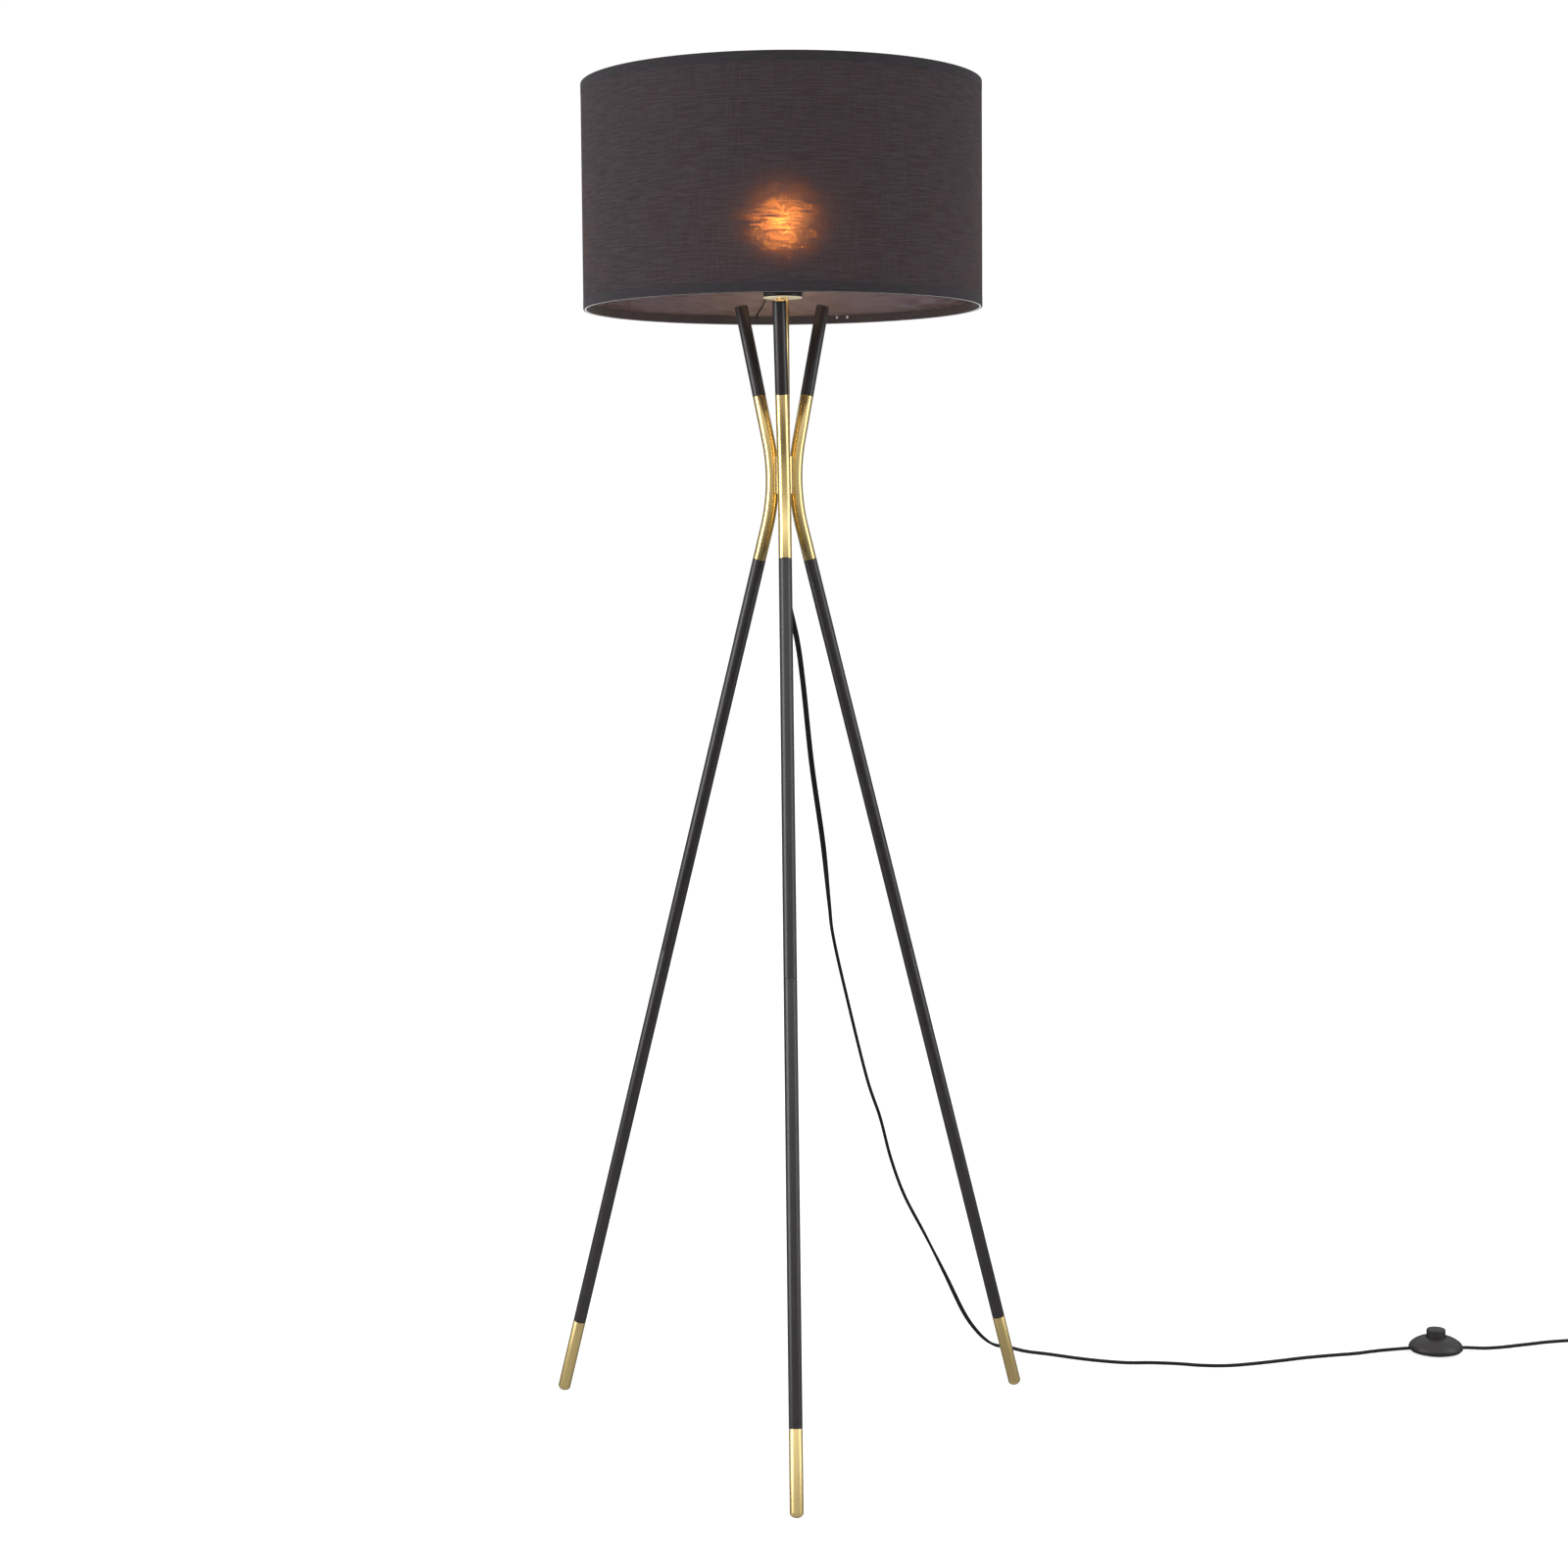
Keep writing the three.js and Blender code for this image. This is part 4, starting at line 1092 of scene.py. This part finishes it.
def arm_line(azimuth):
    """One arm of the wire spider, from the centre ring down to the bottom ring."""
    level = SPIDER_LEVEL
    a = math.radians(azimuth)
    route = [
        (26.5, level), (60, level + 0.7 * MM), (105, level + 1.4 * MM), (136, level + 2 * MM),
        (154, level - 0.5 * MM), (186, ARM_KNEE), (213, ARM_SHIN), (221, HOOP_BOTTOM),
    ]
    return smooth_line(
        [AXIS + np.array((r * MM * math.cos(a), r * MM * math.sin(a), z)) for r, z in route], 4 * MM
    )


def make_spider():
    under = SPIDER_LEVEL - WIRE_RADIUS
    washer = ring(20.1, 27.5, under, under + 1.4 * MM)
    hoop = circle(2 * MM, 16)
    lower = [(RING_RADIUS + x, HOOP_BOTTOM + z) for x, z in hoop]
    shapes = [moved(turned(eased(washer, 0.4 * MM)), AXIS), moved(turned(lower, SHADE_SIDES), AXIS)]
    for azimuth in ARM_AZIMUTHS:
        a = math.radians(azimuth + 90)
        shapes.append(swept(arm_line(azimuth), circle(WIRE_RADIUS, 20), (math.cos(a), math.sin(a), 0)))
    piece("wire_spider", joined(*shapes), "shade_spider")
    upper = [(RING_RADIUS + x, HOOP_TOP + z) for x, z in hoop]
    piece("wire_hoop_top", moved(turned(upper, SHADE_SIDES), AXIS), "shade_top_ring")


HEM_INSIDE = 217.9 * MM  # radius of the hem's inner face, where the rivets sit


def make_rivets():
    for side in ("left", "right"):
        node = f"shade_rivet_{side}"
        centre = np.array(middle(node))
        outward = centre - AXIS
        outward[2] = 0
        outward /= np.linalg.norm(outward)
        base = np.array((0.0, 0.0, centre[2])) + AXIS + outward * HEM_INSIDE
        outline = [(0, -2.0), (0.8, -1.9), (1.4, -1.5), (1.7, -0.9), (1.7, -0.4), (0.9, -0.4)]
        outline += [(0.9, 1.2), (0, 1.2)]
        piece(f"rivet_{side}", moved(turned(in_mm(outline), 32), base, outward), node)


SEAM_AZIMUTH = 71.25


def make_seam():
    """The overlap where the sheet's two ends are glued, up the back of the drum."""
    azimuth = math.radians(SEAM_AZIMUTH)
    half = 4.5 * MM / SHADE_RADIUS
    rows = np.linspace(SHADE_BOTTOM + 1.5 * MM, SHADE_TOP - 1.5 * MM, 40)
    section = [(-half, 0.05), (-half * 0.9, 0.4), (half * 0.8, 0.42), (half, 0.3), (half, 0.05)]
    vertices = []
    for z in rows:
        for turn, proud in section:
            r, a = SHADE_RADIUS + proud * MM, azimuth + turn
            vertices.append((AXIS[0] + r * math.cos(a), AXIS[1] + r * math.sin(a), z))
    faces = sleeve(len(rows), len(section))
    # The seam takes the hem's darker cloth, which holds painted shade.
    piece("drum_seam", (vertices, faces), "shade_fabric", HEM_CLOTH_SHADED, stands_for=[])


make_walls()
make_hem("hem_band_bottom", "hem_bottom", SHADE_BOTTOM, 1)
make_hem("hem_band_top", "hem_top", SHADE_TOP, -1)
make_spider()
make_rivets()
make_seam()

# ---- Studio ----

FLOOR_SIZE = 60.0
FLOOR_GLOW = 0.78  # keeps the paper white, as in the photo
SKY_WHITE = 1.02  # behind the lamp
ROOM_FRONT, ROOM_BACK = 0.52, 0.22  # the room's brightness, from in front of the lamp to behind it
ROOM_TOP = 0.75  # what is added above the lamp
CARD_HEIGHT = 0.003
# Panels on the floor that only reflections see: name, middle x and y, width, depth, brightness.
FLOOR_CARDS = [
    ("card_front_foot", 0.0, -0.42, 0.24, 0.30, 0.55),
    ("card_left_foot", -0.76, 0.06, 1.28, 0.28, 0.5),
    ("card_right_foot", 0.76, 0.06, 1.28, 0.28, 0.36),
    ("card_before_lamp", 0.0, -1.05, 3.2, 0.96, 0.12),
    ("card_before_switch", 0.84, 0.0, 0.5, 0.46, 0.08),
    ("card_far", 0.2, -4.55, 9.0, 6.0, 0.20),
]


def flat_panel(name, centre, width, depth, material):
    """A level rectangle that belongs to the studio."""
    mesh = bpy.data.meshes.new(name)
    w, d = width / 2, depth / 2
    mesh.from_pydata([(-w, -d, 0), (w, -d, 0), (w, d, 0), (-w, d, 0)], [], [(0, 1, 2, 3)])
    mesh.materials.append(material)
    panel = bpy.data.objects.new(name, mesh)
    panel.location = centre
    bpy.context.scene.collection.objects.link(panel)
    return panel


def card(name, x, y, width, depth, brightness):
    """A panel of light on the floor that only reflections see."""
    material = bpy.data.materials.new(name)
    material.use_nodes = True
    tree = material.node_tree
    tree.nodes.clear()
    emission = add_node(tree, "ShaderNodeEmission", {"Color": (1, 1, 1, 1), "Strength": brightness})
    add_node(tree, "ShaderNodeOutputMaterial", {"Surface": emission.outputs[0]})
    panel = flat_panel(name, (x, y, CARD_HEIGHT), width, depth, material)
    panel.visible_camera = panel.visible_diffuse = False
    panel.visible_shadow = panel.visible_transmission = False


def make_floor():
    paper = Finish("studio_paper", Roughness=1.0, IOR=1.2, Specular_IOR_Level=0.0)
    paper.tint(paper.noise(3, 3), (0.40, 0.40, 0.40), (0.42, 0.42, 0.42))
    paper.shader.inputs["Emission Color"].default_value = (1, 1, 1, 1)
    paper.shader.inputs["Emission Strength"].default_value = FLOOR_GLOW
    floor = flat_panel("studio_floor", (0, 0, 0), FLOOR_SIZE, FLOOR_SIZE, paper.material)
    floor.visible_glossy = False


def softbox(name, centre, size, brightness):
    """An upright rectangular light of an even brightness, aimed at the lamp."""
    data = bpy.data.lights.new(name, "AREA")
    data.shape = "RECTANGLE"
    data.size, data.size_y = size
    data.energy = brightness * math.pi * size[0] * size[1]
    light = bpy.data.objects.new(name, data)
    light.location = centre
    aim = Vector((0, 0, centre[2])) - Vector(centre)
    light.rotation_euler = aim.to_track_quat("-Z", "Y").to_euler()
    bpy.context.scene.collection.objects.link(light)


def make_world():
    """White behind the lamp for the camera; for the rest a dim room, darker at the back, lit from above."""
    world = bpy.data.worlds.new("studio")
    world.use_nodes = True
    tree = world.node_tree
    tree.nodes.clear()
    white = (1, 1, 1, 1)
    direction = add_node(tree, "ShaderNodeTexCoord").outputs["Generated"]
    axes = add_node(tree, "ShaderNodeSeparateXYZ", {0: direction}).outputs
    shares = []
    for axis, start, end, first, last in (
        ("Y", -0.3, 0.4, ROOM_FRONT, ROOM_BACK), ("Z", 0.22, 0.5, 0.0, ROOM_TOP)
    ):
        limits = {"From Min": start, "From Max": end, "To Min": first, "To Max": last}
        shares.append(add_node(tree, "ShaderNodeMapRange", {"Value": axes[axis], **limits}).outputs[0])
    total = add_node(tree, "ShaderNodeMath", {0: shares[0], 1: shares[1]}).outputs[0]
    room = add_node(tree, "ShaderNodeBackground", {"Color": white, "Strength": total}).outputs[0]
    sky = add_node(tree, "ShaderNodeBackground", {"Color": white, "Strength": SKY_WHITE}).outputs[0]
    seen = add_node(tree, "ShaderNodeLightPath").outputs["Is Camera Ray"]
    mix = add_node(tree, "ShaderNodeMixShader", {0: seen, 1: room, 2: sky}).outputs[0]
    add_node(tree, "ShaderNodeOutputWorld", {"Surface": mix})
    bpy.context.scene.world = world


def make_studio():
    bpy.context.scene.view_settings.view_transform = "Standard"
    make_world()
    make_floor()
    softbox("key", (-2.45, -0.85, 1.5), (1.4, 2.7), 4.4)
    softbox("fill", (2.45, -0.6, 1.5), (1.2, 2.7), 2.4)
    for values in FLOOR_CARDS:
        card(*values)


make_studio()
